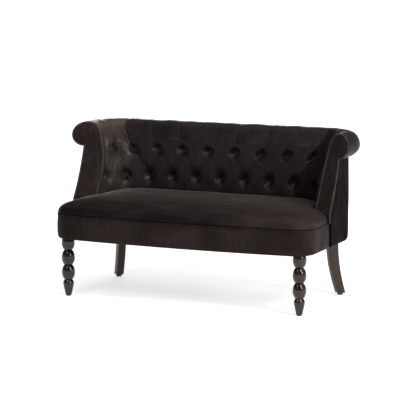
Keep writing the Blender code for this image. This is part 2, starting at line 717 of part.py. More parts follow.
def inner_edge_x(z):
    """Half width of the arm's inner edge at its front."""
    if z >= ROLL_JOIN_Z:
        return ROLL_HALF_WIDTH - math.sqrt(max(0.0, ROLL_RADIUS ** 2 - (z - ROLL_Z) ** 2))
    lean = max(0.0, (z - LEAN_START_Z) / (ROLL_JOIN_Z - LEAN_START_Z)) ** LEAN_POWER
    return lerp(INSIDE_HALF_WIDTH, ROLL_HALF_WIDTH - ROLL_RADIUS * math.cos(ROLL_JOIN), lean)


def facing_span(z, inset):
    """Inner and outer half widths of the arm front at a height, drawn in by inset."""
    radius = ROLL_RADIUS - inset
    half = math.sqrt(max(0.0, radius ** 2 - (z - ROLL_Z) ** 2))
    inner = inner_edge_x(z) + inset
    if z >= ROLL_Z:
        inner = ROLL_HALF_WIDTH - half
    outer = OUTSIDE_HALF_WIDTH - inset
    if z > ROLL_Z - radius:
        outer = max(outer, ROLL_HALF_WIDTH + half) if z < ROLL_Z else ROLL_HALF_WIDTH + half
    return inner, outer


def arm_facing(side):
    word, sign = mirrored(side)
    inset = 2 * WELT_RADIUS + GAP
    radius = ROLL_RADIUS - inset
    levels = [FACING_BOTTOM_Z, FRONT_FOOT_Z] + even(FRONT_FOOT_Z, ROLL_Z - radius, 9)
    levels += [ROLL_Z - radius * math.cos(math.radians(a)) for a in (16, 38, 60, 82, 104, 126, 148, 166, 176)]
    across = 4
    rings = []
    for z in levels:
        inner, outer = facing_span(z, inset)
        front = [lerp(inner, outer, i / across) for i in range(across + 1)]
        ring = [(sign * x, front_y(x, z) + FACING_RECESS, z) for x in front]
        ring += [(sign * x, front_y(x, z) + FACING_THICKNESS, z) for x in reversed(front)]
        rings.append(ring)
    return loft("arm_facing_" + word, rings, velvet, 50)


def facing_welt(side):
    word, sign = mirrored(side)
    radius = ROLL_RADIUS - WELT_RADIUS
    outer_x = OUTSIDE_HALF_WIDTH - WELT_RADIUS
    turn_end = math.pi + math.acos((outer_x - ROLL_HALF_WIDTH) / radius)
    rising = [FACING_BOTTOM_Z, FRONT_FOOT_Z] + even(FRONT_FOOT_Z, ROLL_JOIN_Z, 13)
    outline = [(inner_edge_x(z) + WELT_RADIUS, z) for z in rising]
    for i in range(1, 19):
        turn = lerp(ROLL_JOIN, turn_end, i / 18)
        outline.append((ROLL_HALF_WIDTH - radius * math.cos(turn), ROLL_Z + radius * math.sin(turn)))
    last_z = outline[-1][1]
    outline += [(outer_x, z) for z in even(last_z, FRONT_FOOT_Z, 10) + [FACING_BOTTOM_Z]]
    points = [(sign * x, front_y(x, z) + WELT_SEAT, z) for x, z in outline]
    return tube("facing_welt_" + word, points, WELT_RADIUS, velvet)


# Seat

def seat_front(x):
    return SEAT_FRONT_Y - SEAT_BOW * (1 - min(1.0, abs(x) / (SEAT_HALF_WIDTH - SEAT_CORNER_RADIUS)) ** 2)


SEAT_BOW_STEPS = 12
SEAT_WELT_BOW_STEPS = 16
SEAT_SIDE_STEPS = 3


def seat_line(inset, arm_y, bow_count=SEAT_BOW_STEPS):
    """Open (x, y) outline of the seat box: left side, round the front, right side, drawn in by inset."""
    centre_x = SEAT_HALF_WIDTH - SEAT_CORNER_RADIUS
    centre_y = SEAT_FRONT_Y + SEAT_CORNER_RADIUS
    radius = SEAT_CORNER_RADIUS - inset
    right = []
    for i in range(CORNER_STEPS + 1):
        a = math.pi / 2 * i / CORNER_STEPS
        right.append((centre_x + radius * math.sin(a), centre_y - radius * math.cos(a)))
    side_x = SEAT_HALF_WIDTH - inset
    right += [(side_x, y) for y in even(centre_y, arm_y(side_x), SEAT_SIDE_STEPS)]
    front = []
    for i in range(1, bow_count):
        x = lerp(-centre_x, centre_x, i / bow_count)
        front.append((x, seat_front(x) + inset))
    left = [(-x, y) for x, y in reversed(right)]
    return left + front + right


def seat_border():
    """The upholstered strip round the front and sides, below the welt."""
    top = SEAT_WELT_Z - WELT_RADIUS - GAP
    edge = BORDER_EDGE_RADIUS
    section = [(BORDER_THICKNESS, top), (BORDER_THICKNESS, SEAT_BOTTOM_Z)]
    for i in range(1, BORDER_EDGE_STEPS + 1):
        a = math.pi / 2 * i / BORDER_EDGE_STEPS
        section.append((edge * (1 - math.sin(a)), SEAT_BOTTOM_Z + edge * (1 - math.cos(a))))
    section.append((0.0, top))
    rows = []
    for inset, z in section:
        line = seat_line(inset, lambda x, z=z: front_y(x, z) + FACING_THICKNESS)
        rows.append([(x, y, z) for x, y in line])
    rings = [[row[c] for row in rows] for c in range(len(rows[0]))]
    return loft("seat_border", rings, velvet, 50)


def seat_welt():
    def before_facing(x):
        return front_y(x, SEAT_WELT_Z) + FACING_THICKNESS - WELT_RADIUS

    line = seat_line(WELT_RADIUS - WELT_PROUD, before_facing, SEAT_WELT_BOW_STEPS)
    return tube("seat_welt", [(x, y, SEAT_WELT_Z) for x, y in line], WELT_RADIUS, velvet)


def edge_distance(x, y):
    """How far a point lies inside the seat box outline, ignoring its open back."""
    centre_x = SEAT_HALF_WIDTH - SEAT_CORNER_RADIUS
    centre_y = SEAT_FRONT_Y + SEAT_CORNER_RADIUS
    across, ahead = abs(x) - centre_x, centre_y - y
    if across > 0 and ahead > 0:
        return SEAT_CORNER_RADIUS - math.hypot(across, ahead)
    return min(SEAT_HALF_WIDTH - abs(x), y - seat_front(x))


def seat_top_z(x, y):
    inside = min(1.0, max(0.0, edge_distance(x, y) / SEAT_EDGE_REACH))
    rounded = (1 - (1 - inside) ** SEAT_EDGE_POWER) ** (1 / SEAT_EDGE_POWER)
    middle = smoothstep(edge_distance(x, y) / SEAT_CROWN_REACH)
    return SEAT_LEDGE_Z + SEAT_EDGE_RISE * rounded + SEAT_CROWN * middle


SEAT_BACK_STEPS = 4  # columns of faces from a rear corner to the middle of the back


def seat_pad():
    """The padded seat, set between the arms and spreading in front of them."""
    def before_arm(x):
        return front_y(x, FRONT_FOOT_Z) - WELT_STAND - GAP

    line = seat_line(0.0, before_arm)
    inner_x = INSIDE_HALF_WIDTH - SEAT_PAD_CLEARANCE
    corner = inset_line(INSIDE_LINE, SEAT_PAD_CLEARANCE)
    arm = [(inner_x, before_arm(inner_x))]
    arm += [plan(corner, t)[0][:2] for t in [TURN_END] + even(TURN_END, BACK_END, CORNER_STEPS)]
    back = [plan(corner, t)[0][:2] for t in even(BACK_END, 0.0, SEAT_BACK_STEPS)]
    right = arm + back
    outline = line + right + [(-x, y) for x, y in reversed(right[:-1])]
    exposed = len(line)
    centre_y = (SEAT_FRONT_Y + INSIDE_BACK_Y) / 2
    drawn_in = BORDER_THICKNESS + GAP
    hidden_z = (PAD_BOTTOM_Z + SEAT_LEDGE_Z) / 2
    inner_line = seat_line(drawn_in, before_arm) + outline[exposed:]

    def toward_middle(p, share):
        core_x = max(-SEAT_CORE_HALF_WIDTH, min(SEAT_CORE_HALF_WIDTH, p[0] * SEAT_CORE_SHARE))
        return (lerp(p[0], core_x, share), lerp(p[1], centre_y, share))

    rings = [
        [(x, y, PAD_BOTTOM_Z) for x, y in inner_line],
        [(x, y, SEAT_LEDGE_Z if i < exposed else hidden_z) for i, (x, y) in enumerate(inner_line)],
        [(x, y, SEAT_LEDGE_Z) for x, y in outline],
    ]
    for share in SEAT_RINGS:
        ring = []
        for p in outline:
            x, y = toward_middle(p, share)
            ring.append((x, y, seat_top_z(x, y)))
        rings.append(ring)
    rings.insert(3, [(x, y, max(seat_top_z(x, y), SEAT_LEDGE_Z + SEAT_HIDDEN_STAND)) for x, y in outline])
    return loft("seat_pad", rings, velvet, 50)


def strap_mesh(name, u_straps, u_ends, v_straps, v_ends, place, material):
    """Straps along v at each u_straps pair and along u at each v_straps pair, joined where they cross."""
    us = sorted({v for pair in u_straps for v in pair} | set(u_ends))
    vs = sorted({v for pair in v_straps for v in pair} | set(v_ends))

    def inside(i, j):
        if not (0 <= i < len(us) - 1 and 0 <= j < len(vs) - 1):
            return False
        u, v = (us[i] + us[i + 1]) / 2, (vs[j] + vs[j + 1]) / 2
        on_u = any(a < u < b for a, b in u_straps)
        on_v = any(a < v < b for a, b in v_straps)
        return on_u or on_v

    index, points, faces = {}, [], []

    def corner(i, j, level):
        key = (i, j, level)
        if key not in index:
            index[key] = len(points)
            points.append(place(us[i], vs[j], level))
        return index[key]

    for i in range(len(us) - 1):
        for j in range(len(vs) - 1):
            if not inside(i, j):
                continue
            for level in (0, 1):
                faces.append([corner(i, j, level), corner(i + 1, j, level), corner(i + 1, j + 1, level),
                              corner(i, j + 1, level)])
            sides = (((i, j), (i + 1, j), (i, j - 1)), ((i + 1, j), (i + 1, j + 1), (i + 1, j)),
                     ((i + 1, j + 1), (i, j + 1), (i, j + 1)), ((i, j + 1), (i, j), (i - 1, j)))
            for a, b, neighbour in sides:
                if not inside(*neighbour):
                    faces.append([corner(*a, 0), corner(*b, 0), corner(*b, 1), corner(*a, 1)])
    return mesh_object(name, points, faces, material)


def spaced_straps(low, high, count, width):
    """Strap edges, evenly spread with equal gaps outside the end straps."""
    pitch = (high - low) / count
    return [(low + pitch * (i + 0.5) - width / 2, low + pitch * (i + 0.5) + width / 2) for i in range(count)]


def seat_webbing():
    half = FRAME_HALF_WIDTH - RAIL_THICKNESS + WEBBING_LANDING
    front = front_rail_back_y() - WEBBING_LANDING
    back = FRAME_BACK_Y - RAIL_THICKNESS + WEBBING_LANDING
    low = RAIL_TOP_Z + GAP
    deep = spaced_straps(-SEAT_STRAP_SPREAD, SEAT_STRAP_SPREAD, SEAT_DEEP_STRAP_COUNT, WEBBING_WIDTH)
    side_end = FRAME_BACK_Y - FRAME_CORNER_RADIUS
    wide = spaced_straps(FRONT_BLOCK_BACK_Y, side_end, SEAT_WIDE_STRAP_COUNT, WEBBING_WIDTH)

    def place(u, v, level):
        return (u, v, low + level * WEBBING_THICKNESS)

    return strap_mesh("seat_webbing", deep, (-half, half), wide, (front, back), place, webbing_cloth)


def back_webbing():
    y = FRAME_BACK_Y - FRAME_THICKNESS - GAP
    low, high = RAIL_TOP_Z + BACK_STRAP_FOOT, TOP_RAIL_BOTTOM_Z - 3 * GAP
    reach = FRAME_HALF_WIDTH - FRAME_CORNER_RADIUS - BACK_STRAP_END
    up = spaced_straps(-reach, reach, BACK_UPRIGHT_STRAP_COUNT, WEBBING_WIDTH)
    lowest, highest = low + BACK_STRAP_MARGIN, high - BACK_STRAP_MARGIN
    wide = spaced_straps(lowest, highest, BACK_WIDE_STRAP_COUNT, WEBBING_WIDTH)

    def place(u, v, level):
        return (u, y - level * WEBBING_THICKNESS, v)

    return strap_mesh("back_webbing", up, (-reach, reach), wide, (low, high), place, webbing_cloth)


# Wooden frame

def front_rail_back_y():
    return SEAT_FRONT_Y + BORDER_THICKNESS + GAP + RAIL_THICKNESS


def stud_hole_cutter():
    """The holes for the legs' studs, through the dust cover and into the blocks."""
    points, faces = [], []
    ends = [(-STUD_ROOT, 1.0), (STUD_LENGTH + 2 * GAP, 1.0)]
    for sign in (-1, 1):
        for x, y in ((sign * FRONT_LEG_X, 0.0), (sign * REAR_LEG_TOP_X, REAR_LEG_TOP_Y)):
            faces += ring_faces(STUD_SIDES, 2, len(points))
            foot = Vector((x, y, LEG_TOP_Z))
            points += disc_points(foot, Vector((0, 0, 1)), STUD_RADIUS + GAP, STUD_SIDES, ends)
    return hidden_cutter("stud_holes", points, faces)


def seat_frame(holes):
    outer = BORDER_THICKNESS + GAP
    back_y = front_rail_back_y()
    rail_end = FRONT_BLOCK_INNER_X - GAP / 2
    bow_x = [-rail_end] + even(-rail_end, rail_end, RAIL_BOW_STEPS)
    bow = [(x, seat_front(x) + outer) for x in bow_x]
    prism("front_rail", bow + [(rail_end, back_y), (-rail_end, back_y)], RAIL_BOTTOM_Z, RAIL_TOP_Z, birch)

    straight = FRAME_HALF_WIDTH - FRAME_CORNER_RADIUS
    rail_y = FRAME_BACK_Y - RAIL_THICKNESS
    reach = straight - GAP / 2
    prism("back_rail", [(-reach, rail_y), (reach, rail_y), (reach, FRAME_BACK_Y), (-reach, FRAME_BACK_Y)],
          RAIL_BOTTOM_Z, RAIL_TOP_Z, birch)
    half = STRETCHER_WIDTH / 2
    near, far = back_y + GAP, rail_y - GAP
    prism("seat_stretcher", [(-half, near), (half, near), (half, far), (-half, far)],
          RAIL_BOTTOM_Z, RAIL_BOTTOM_Z + STRETCHER_HEIGHT, birch)

    inner_x = FRAME_HALF_WIDTH - RAIL_THICKNESS
    near, far = FRONT_BLOCK_BACK_Y + GAP, FRAME_BACK_Y - FRAME_CORNER_RADIUS - GAP
    for side in (-1, 1):
        word, sign = mirrored(side)
        corners = ((inner_x, near), (FRAME_HALF_WIDTH, near), (FRAME_HALF_WIDTH, far), (inner_x, far))
        prism("side_rail_" + word, [(sign * x, y) for x, y in corners], RAIL_BOTTOM_Z, RAIL_TOP_Z, birch)
        front_corner_block(word, sign, holes)
        rear_corner_post(word, sign, holes)
        arm_post(word, sign)


def front_corner_block(word, sign, holes):
    """The rounded corner of the seat frame, which takes the front leg's stud."""
    outer = BORDER_THICKNESS + GAP
    centre_x = SEAT_HALF_WIDTH - SEAT_CORNER_RADIUS
    centre_y = SEAT_FRONT_Y + SEAT_CORNER_RADIUS
    radius = SEAT_CORNER_RADIUS - outer
    outline = [(FRONT_BLOCK_INNER_X + GAP / 2, seat_front(FRONT_BLOCK_INNER_X) + outer)]
    for i in range(CORNER_STEPS + 1):
        a = math.pi / 2 * i / CORNER_STEPS
        outline.append((centre_x + radius * math.sin(a), centre_y - radius * math.cos(a)))
    inner_x = FRAME_HALF_WIDTH - RAIL_THICKNESS
    outline += [(SEAT_HALF_WIDTH - outer, FRONT_BLOCK_BACK_Y), (inner_x, FRONT_BLOCK_BACK_Y),
                (FRONT_BLOCK_INNER_X + GAP / 2, front_rail_back_y())]
    outline = [(sign * x, y) for x, y in outline]
    block = prism("front_corner_block_" + word, outline, RAIL_BOTTOM_Z, RAIL_TOP_Z, birch)
    cut(block, holes)


def rear_corner_post(word, sign, holes):
    """A post in the curve of the corner, standing on a broad foot that takes the rear leg's stud."""
    straight = FRAME_HALF_WIDTH - FRAME_CORNER_RADIUS
    centre_y = FRAME_BACK_Y - FRAME_CORNER_RADIUS

    def on_arc(radius, angle):
        return (straight + radius * math.sin(angle), centre_y + radius * math.cos(angle))

    turns = [0.0] + even(0.0, math.pi / 2, CORNER_STEPS)
    foot = [on_arc(FRAME_CORNER_RADIUS, a) for a in turns]
    foot += [(FRAME_HALF_WIDTH - RAIL_THICKNESS, centre_y), (straight, FRAME_BACK_Y - RAIL_THICKNESS)]
    foot = [(sign * x, y) for x, y in foot]
    post = prism("rear_corner_post_" + word, foot, RAIL_BOTTOM_Z, RAIL_TOP_Z, birch)
    low, high = (math.radians(a) for a in REAR_POST_DEGREES)
    turns = [low] + even(low, high, REAR_POST_STEPS)
    section = [on_arc(FRAME_CORNER_RADIUS - 3 * GAP, a) for a in turns]
    section += [on_arc(FRAME_CORNER_RADIUS - FRAME_THICKNESS, a) for a in reversed(turns)]
    section = [(sign * x, y) for x, y in section]
    shaft_foot = RAIL_BOTTOM_Z + STUD_LENGTH
    shaft = prism("rear_post_shaft_" + word, section, shaft_foot, TOP_RAIL_BOTTOM_Z - GAP, None)
    shaft.hide_render = True
    shaft.display_type = "WIRE"
    cut(post, shaft, "UNION")
    cut(post, holes)


def arm_post(word, sign):
    """The post behind the arm front, sawn to its sweep."""
    outer_x = FRAME_HALF_WIDTH
    inner_x = FRAME_HALF_WIDTH - FRAME_THICKNESS
    levels = [RAIL_TOP_Z + GAP, FRONT_FOOT_Z] + even(FRONT_FOOT_Z, TOP_RAIL_BOTTOM_Z - GAP, 9)
    rings = []
    for z in levels:
        front = [(sign * x, front_y(x, z) + FACING_BACK, z) for x in (inner_x, outer_x)]
        rings.append(front + [(x, y + ARM_POST_DEPTH, z) for x, y, z in reversed(front)])
    loft("arm_post_" + word, rings, birch)


def upper_frame():
    half = CENTRE_POST_WIDTH / 2
    y = FRAME_BACK_Y - FRAME_THICKNESS
    prism("back_centre_post", [(-half, y), (half, y), (half, FRAME_BACK_Y), (-half, FRAME_BACK_Y)],
          RAIL_TOP_Z + GAP, TOP_RAIL_BOTTOM_Z - GAP, birch)

    low, high = TOP_RAIL_BOTTOM_Z, TOP_RAIL_BOTTOM_Z + TOP_RAIL_THICKNESS
    corners = ((low, -TOP_RAIL_INNER), (low, TOP_RAIL_OUTER), (high, TOP_RAIL_OUTER), (high, -TOP_RAIL_INNER))

    def section(station):
        return [frame_point(ROLL_LINE, station, z, outward) for z, outward in corners]

    bend = [BACK_END] + even(BACK_END, TURN_END, CORNER_STEPS)
    loft("back_top_rail", [section(t) for t in [-b for b in reversed(bend)] + bend], birch)
    for side in (-1, 1):
        word, sign = mirrored(side)
        columns = []
        for z, outward in corners:
            def at(station, z=z, outward=outward):
                return frame_point(ROLL_LINE, station, z, outward)

            end = trimmed_station(at, FACING_BACK, sign)
            columns.append([at(sign * (TURN_END + 2 * GAP)), at(end)])
        loft("arm_top_rail_" + word, [[c[i] for c in columns] for i in (0, 1)], birch)


DUST_COVER_CORNER_STEPS = 6


def dust_cover(holes):
    low = RAIL_BOTTOM_Z - GAP - DUST_COVER_THICKNESS
    line = seat_line(DUST_COVER_INSET, lambda x: ARM_REFERENCE_Y)
    back = inset_line(FRAME_LINE, DUST_COVER_BACK_INSET)
    rear = [plan(back, t)[0][:2] for t in [TURN_END] + even(TURN_END, BACK_END, DUST_COVER_CORNER_STEPS)]
    outline = line + rear + [(-x, y) for x, y in reversed(rear)]
    cover = prism("dust_cover", outline, low, low + DUST_COVER_THICKNESS, black_cloth)
    cut(cover, holes)


# Legs and glides

def front_leg_profile():
    """Radius and height from the foot up: tapered foot, two full beads and the lower half of a third."""
    base = FRONT_GLIDE_HEIGHT + GAP
    profile = [(0.0, base), (FOOT_TIP_RADIUS - FOOT_TIP_BEVEL / 2, base)]
    profile.append((FOOT_TIP_RADIUS, base + FOOT_TIP_BEVEL))
    profile += [(FOOT_SHOULDER_RADIUS * wide, FOOT_SHOULDER_Z * up) for wide, up in FOOT_OUTLINE]
    half = BEAD_PITCH / 2
    long_axis = half / math.sqrt(1 - (NECK_RADIUS / BEAD_RADIUS) ** 2)
    for bead in range(BEAD_COUNT):
        centre = FOOT_NECK_Z + half + bead * BEAD_PITCH
        for i in range(BEAD_STEPS + 1):
            z = centre - half + BEAD_PITCH * i / BEAD_STEPS
            if z > LEG_TOP_Z - BEAD_PITCH / BEAD_STEPS / 2 or (bead and i == 0):
                continue
            profile.append((BEAD_RADIUS * math.sqrt(1 - ((z - centre) / long_axis) ** 2), z))
    stud_end = LEG_TOP_Z + STUD_LENGTH
    profile += [(LEG_CROWN_RADIUS, LEG_TOP_Z), (STUD_RADIUS, LEG_TOP_Z)]
    return profile + [(STUD_RADIUS, stud_end), (0.0, stud_end)]


def glide(name, radius, height, place):
    """A round glide under a foot, with an eased lower edge."""
    wide, up = GLIDE_EASE
    profile = [(0.0, 0.0), (radius * wide, 0.0), (radius, height * up), (radius, height), (0.0, height)]
    turned(name, profile, GLIDE_SIDES, glide_plastic).location = place


def front_leg(side):
    word, sign = mirrored(side)
    leg = turned("front_leg_" + word, front_leg_profile(), TURNED_SIDES, lacquer)
    leg.location = (sign * FRONT_LEG_X, 0.0, 0.0)
    glide("front_glide_" + word, FRONT_GLIDE_RADIUS, FRONT_GLIDE_HEIGHT, leg.location)


def rear_leg(side):
    """A square leg swept outwards along the corner diagonal, with eased edges and a stud on top."""
    word, sign = mirrored(side)
    outward = Vector((sign, 1.0, 0.0)).normalized()
    across = Vector((outward.y, -outward.x, 0.0))
    base = REAR_GLIDE_HEIGHT + GAP
    wide = REAR_LEG_THICKNESS / 2
    edge = REAR_LEG_EDGE
    top = Vector((sign * REAR_LEG_TOP_X, REAR_LEG_TOP_Y, 0.0))
    rings = []
    for i in range(REAR_LEG_STEPS + 1):
        t = i / REAR_LEG_STEPS
        centre = top + outward * REAR_LEG_SPLAY * (1 - t) ** 2
        centre.z = lerp(base, LEG_TOP_Z, t)
        depth = lerp(REAR_LEG_FOOT_DEPTH, REAR_LEG_TOP_DEPTH, t) / 2
        half = [(depth, wide - edge), (depth - edge, wide), (edge - depth, wide), (-depth, wide - edge)]
        section = half + [(-u, -v) for u, v in half]
        rings.append([centre + outward * u + across * v for u, v in section])
    leg = loft("rear_leg_" + word, rings, lacquer, 20)
    top.z = LEG_TOP_Z
    ends = [(-STUD_ROOT, 1.0), (STUD_LENGTH, 1.0)]
    points = disc_points(top, Vector((0, 0, 1)), STUD_RADIUS, STUD_SIDES, ends)
    cut(leg, hidden_cutter("rear_stud_" + word, points, ring_faces(STUD_SIDES, 2)), "UNION")
    top.z = 0.0
    glide("rear_glide_" + word, REAR_GLIDE_RADIUS, REAR_GLIDE_HEIGHT, top + outward * REAR_LEG_SPLAY)


# Building

for old in list(bpy.data.objects):
    bpy.data.objects.remove(old, do_unlink=True)

datum = bpy.data.objects.new("settee", None)
datum.location = (0.0, -MIDDLE_Y, 0.0)
bpy.context.scene.collection.objects.link(datum)

velvet = finish("velvet", (0.012, 0.010, 0.009), 0.85)
birch = finish("birch", (0.62, 0.45, 0.28), 0.6)
lacquer = finish("black_lacquer", (0.010, 0.007, 0.006), 0.18)
webbing_cloth = finish("webbing", (0.33, 0.27, 0.19), 0.9)
black_cloth = finish("dust_cover_cloth", (0.02, 0.02, 0.02), 0.9)
glide_plastic = finish("glide_plastic", (0.02, 0.02, 0.02), 0.5)

stud_holes = stud_hole_cutter()
seat_frame(stud_holes)
upper_frame()
seat_webbing()
back_webbing()
dust_cover(stud_holes)
seat_border()
seat_welt()
seat_pad()
inside_back_cover()
buttons()
outside_back_panel()
for half_side in (-1, 1):
    inside_arm_cover(half_side)
    outside_arm_panel(half_side)
    arm_facing(half_side)
    facing_welt(half_side)
    front_leg(half_side)
    rear_leg(half_side)
bpy.context.view_layer.update()
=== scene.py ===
"""Looks of the two-seat settee: dense velvet covers, turned and swept legs, a pale studio.

Metres, +Z up. Depths are measured back from the line through the two front legs, as in the construction, and
to_world sets them into the frame. Sizes without a place in the frame repeat the construction's values.
"""

import json
import math

import bmesh
import bpy
import numpy as np
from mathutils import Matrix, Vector
from mathutils.geometry import delaunay_2d_cdt
from mathutils.kdtree import KDTree


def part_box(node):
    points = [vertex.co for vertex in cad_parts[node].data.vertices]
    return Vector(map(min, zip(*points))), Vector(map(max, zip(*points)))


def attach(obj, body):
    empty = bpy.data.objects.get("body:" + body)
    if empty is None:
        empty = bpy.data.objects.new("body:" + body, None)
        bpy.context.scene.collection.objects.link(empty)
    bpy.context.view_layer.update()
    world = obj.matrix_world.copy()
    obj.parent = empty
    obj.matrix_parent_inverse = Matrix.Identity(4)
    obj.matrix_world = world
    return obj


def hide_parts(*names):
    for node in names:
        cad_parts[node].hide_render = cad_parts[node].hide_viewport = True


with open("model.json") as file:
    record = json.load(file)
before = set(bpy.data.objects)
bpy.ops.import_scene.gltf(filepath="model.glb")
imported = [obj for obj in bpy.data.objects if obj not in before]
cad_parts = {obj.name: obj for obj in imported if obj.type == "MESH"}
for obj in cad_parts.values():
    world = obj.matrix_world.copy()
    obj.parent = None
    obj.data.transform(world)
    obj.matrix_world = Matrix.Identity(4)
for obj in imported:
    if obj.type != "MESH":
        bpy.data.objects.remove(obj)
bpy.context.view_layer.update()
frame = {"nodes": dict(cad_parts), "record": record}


# Places taken from the frame

def span(node):
    low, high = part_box(node)
    return np.array(low), np.array(high)


PAD_LOW, PAD_HIGH = span("inside_back_pad")
BORDER_LOW, BORDER_HIGH = span("seat_border")
PANEL_LOW, PANEL_HIGH = span("outside_arm_panel_right")
LEG_LOW, LEG_HIGH = span("front_leg_right")
BACK_HIGH = span("outside_back_panel")[1]
DUST_COVER_LOW = span("dust_cover")[0]

LEG_LINE_Y = (LEG_LOW[1] + LEG_HIGH[1]) / 2
FRONT_LEG_X = (LEG_LOW[0] + LEG_HIGH[0]) / 2

# Seat box
WELT_RADIUS = 0.0035
WELT_PROUD = 0.0025
WELT_SIDES = 14
WELT_STEP = 0.004
WELT_UNEVEN = 0.03  # share of its radius by which the piping varies
WELT_UNEVEN_LENGTH = 0.03
SEAT_HALF_WIDTH = BORDER_HIGH[0]
SEAT_BOW = 0.021
SEAT_FRONT_Y = BORDER_LOW[1] - LEG_LINE_Y + SEAT_BOW
SEAT_CORNER_RADIUS = 0.088
SEAT_BOTTOM_Z = BORDER_LOW[2]
GAP = 0.0003
SEAT_WELT_Z = BORDER_HIGH[2] + WELT_RADIUS + GAP
BORDER_THICKNESS = 0.010
BORDER_EDGE_RADIUS = 0.0095
SEAT_EDGE_RISE = 0.052
SEAT_EDGE_REACH = 0.110
SEAT_CROWN = 0.014
SEAT_CROWN_REACH = 0.260
SEAT_EDGE_POWER = 2.3
SEAT_TUCK = 0.0165  # the cushion stops this far before the plain line of the covers, which stand over it
SEAT_ARM_CLEAR = 0.0052  # room before the arm fronts
SEAT_STEP = 0.006
SEAT_LEDGE_Z = SEAT_WELT_Z + WELT_RADIUS + GAP
SEAT_TOP_Z = SEAT_LEDGE_Z + SEAT_EDGE_RISE + SEAT_CROWN
PAD_BOTTOM_Z = PAD_LOW[2]

# Arms, back and rolled top
INSIDE_CORNER_RADIUS = 0.130
ROLL_CORNER_RADIUS = 0.125
OUTSIDE_CORNER_RADIUS = 0.125
FRAME_CORNER_RADIUS = 0.115
ARM_THICKNESS = 0.085
BACK_THICKNESS = 0.073
ROLL_INSET = 0.005
SIDE_PANEL_THICKNESS = 0.0203
BACK_PANEL_THICKNESS = 0.0080
BACK_FACE_INSET = 0.0241
ROLL_RADIUS = 0.052
ROLL_Z = PAD_HIGH[2] - ROLL_RADIUS
TOP_RAIL_BOTTOM_Z = ROLL_Z - 0.025
TOP_RAIL_THICKNESS = 0.024
TOP_RAIL_OUTER = 0.0295  # reach of the rail's channel either side of the roll's middle line
TOP_RAIL_INNER = 0.0335
TOP_RAIL_EASE = 0.012  # the stuffing slopes back over this height under the rail
ROLL_JOIN = math.radians(14.0)
ROLL_JOIN_Z = ROLL_Z + ROLL_RADIUS * math.sin(ROLL_JOIN)
ROLL_END = math.radians(258.0)
LEAN_START_Z = SEAT_TOP_Z + 0.0332
LEAN_POWER = 2.2
OUTSIDE_HALF_WIDTH = PANEL_HIGH[0]
OUTSIDE_BACK_Y = BACK_HIGH[1] - LEG_LINE_Y
OUTSIDE_BOTTOM_Z = PANEL_LOW[2]
OUTSIDE_EDGE_RADIUS = 0.018
INSIDE_HALF_WIDTH = OUTSIDE_HALF_WIDTH - ARM_THICKNESS
INSIDE_BACK_Y = OUTSIDE_BACK_Y - BACK_THICKNESS
ROLL_HALF_WIDTH = OUTSIDE_HALF_WIDTH - ROLL_INSET
ROLL_BACK_Y = OUTSIDE_BACK_Y - ROLL_INSET
FRAME_HALF_WIDTH = OUTSIDE_HALF_WIDTH - SIDE_PANEL_THICKNESS
FRAME_BACK_Y = OUTSIDE_BACK_Y - BACK_PANEL_THICKNESS

# Arm fronts
FRONT_FOOT_X = OUTSIDE_HALF_WIDTH - 0.044
FRONT_FOOT_Y = 0.195
FRONT_FOOT_Z = SEAT_WELT_Z + 0.039
FRONT_SKEW = math.tan(math.radians(31.0))
FRONT_RAKE = math.tan(math.radians(33.2))
FRONT_UPRIGHT_RISE = 0.3915
FRONT_UNDERCUT = math.tan(math.radians(6.3))
FRONT_SLANT = math.sqrt(1 + FRONT_SKEW ** 2 + FRONT_RAKE ** 2)
FACING_THICKNESS = 0.007
FACING_BACK = 0.0076
FACING_BOTTOM_Z = SEAT_WELT_Z + 0.005
WELT_SEAT = FACING_BACK - (WELT_RADIUS + 3 * GAP) * FRONT_SLANT
ARM_REFERENCE_Y = FRONT_FOOT_Y - 0.045

# Deep buttoning
TOP_ROW_Z = ROLL_Z - 0.073
LOW_ROW_Z = SEAT_TOP_Z + 0.0512
TOP_ROW_COUNT = 10
LOW_ROW_COUNT = 11
SEAM_STEPS = 3
BUTTON_MARGIN = 0.0192
BUTTON_RADIUS = 0.012
BUTTON_HEIGHT = 0.008
BUTTON_SINK = 0.021

# Plan lines, each as half width, back y and corner radius
INSIDE_LINE = (INSIDE_HALF_WIDTH, INSIDE_BACK_Y, INSIDE_CORNER_RADIUS)
ROLL_LINE = (ROLL_HALF_WIDTH, ROLL_BACK_Y, ROLL_CORNER_RADIUS)
OUTSIDE_LINE = (OUTSIDE_HALF_WIDTH, OUTSIDE_BACK_Y, OUTSIDE_CORNER_RADIUS)
FRAME_LINE = (FRAME_HALF_WIDTH, FRAME_BACK_Y, FRAME_CORNER_RADIUS)
BACK_END = 1.0
TURN_END = 2.0
CORNER_START = INSIDE_HALF_WIDTH - INSIDE_CORNER_RADIUS
CORNER_END = CORNER_START + INSIDE_CORNER_RADIUS * math.pi / 2
ARM_LENGTH = INSIDE_BACK_Y - INSIDE_CORNER_RADIUS - ARM_REFERENCE_Y
PITCH = (CORNER_END - BUTTON_MARGIN) / (LOW_ROW_COUNT // 2)


# Numbers

def lerp(a, b, t):
    return a + (b - a) * t


def smoothstep(t):
    t = np.clip(t, 0.0, 1.0)
    return t * t * (3 - 2 * t)


def bump(d, width):
    """1 at d = 0, falling smoothly to nothing a few widths away."""
    return np.exp(-(d / width) ** 2)


def waves(points, wavelength, seed, count=14):
    """Smooth seeded unevenness, about -1 to 1, over an (n, k) array of points."""
    rng = np.random.default_rng(seed)
    points = np.asarray(points, float)
    total = np.zeros(len(points))
    for _ in range(count):
        direction = rng.normal(size=points.shape[1])
        direction /= np.linalg.norm(direction)
        stretch = rng.uniform(0.7, 1.5)
        total += np.sin(2 * np.pi * stretch * (points @ direction) / wavelength + rng.uniform(0, 2 * np.pi))
    return total / math.sqrt(count)


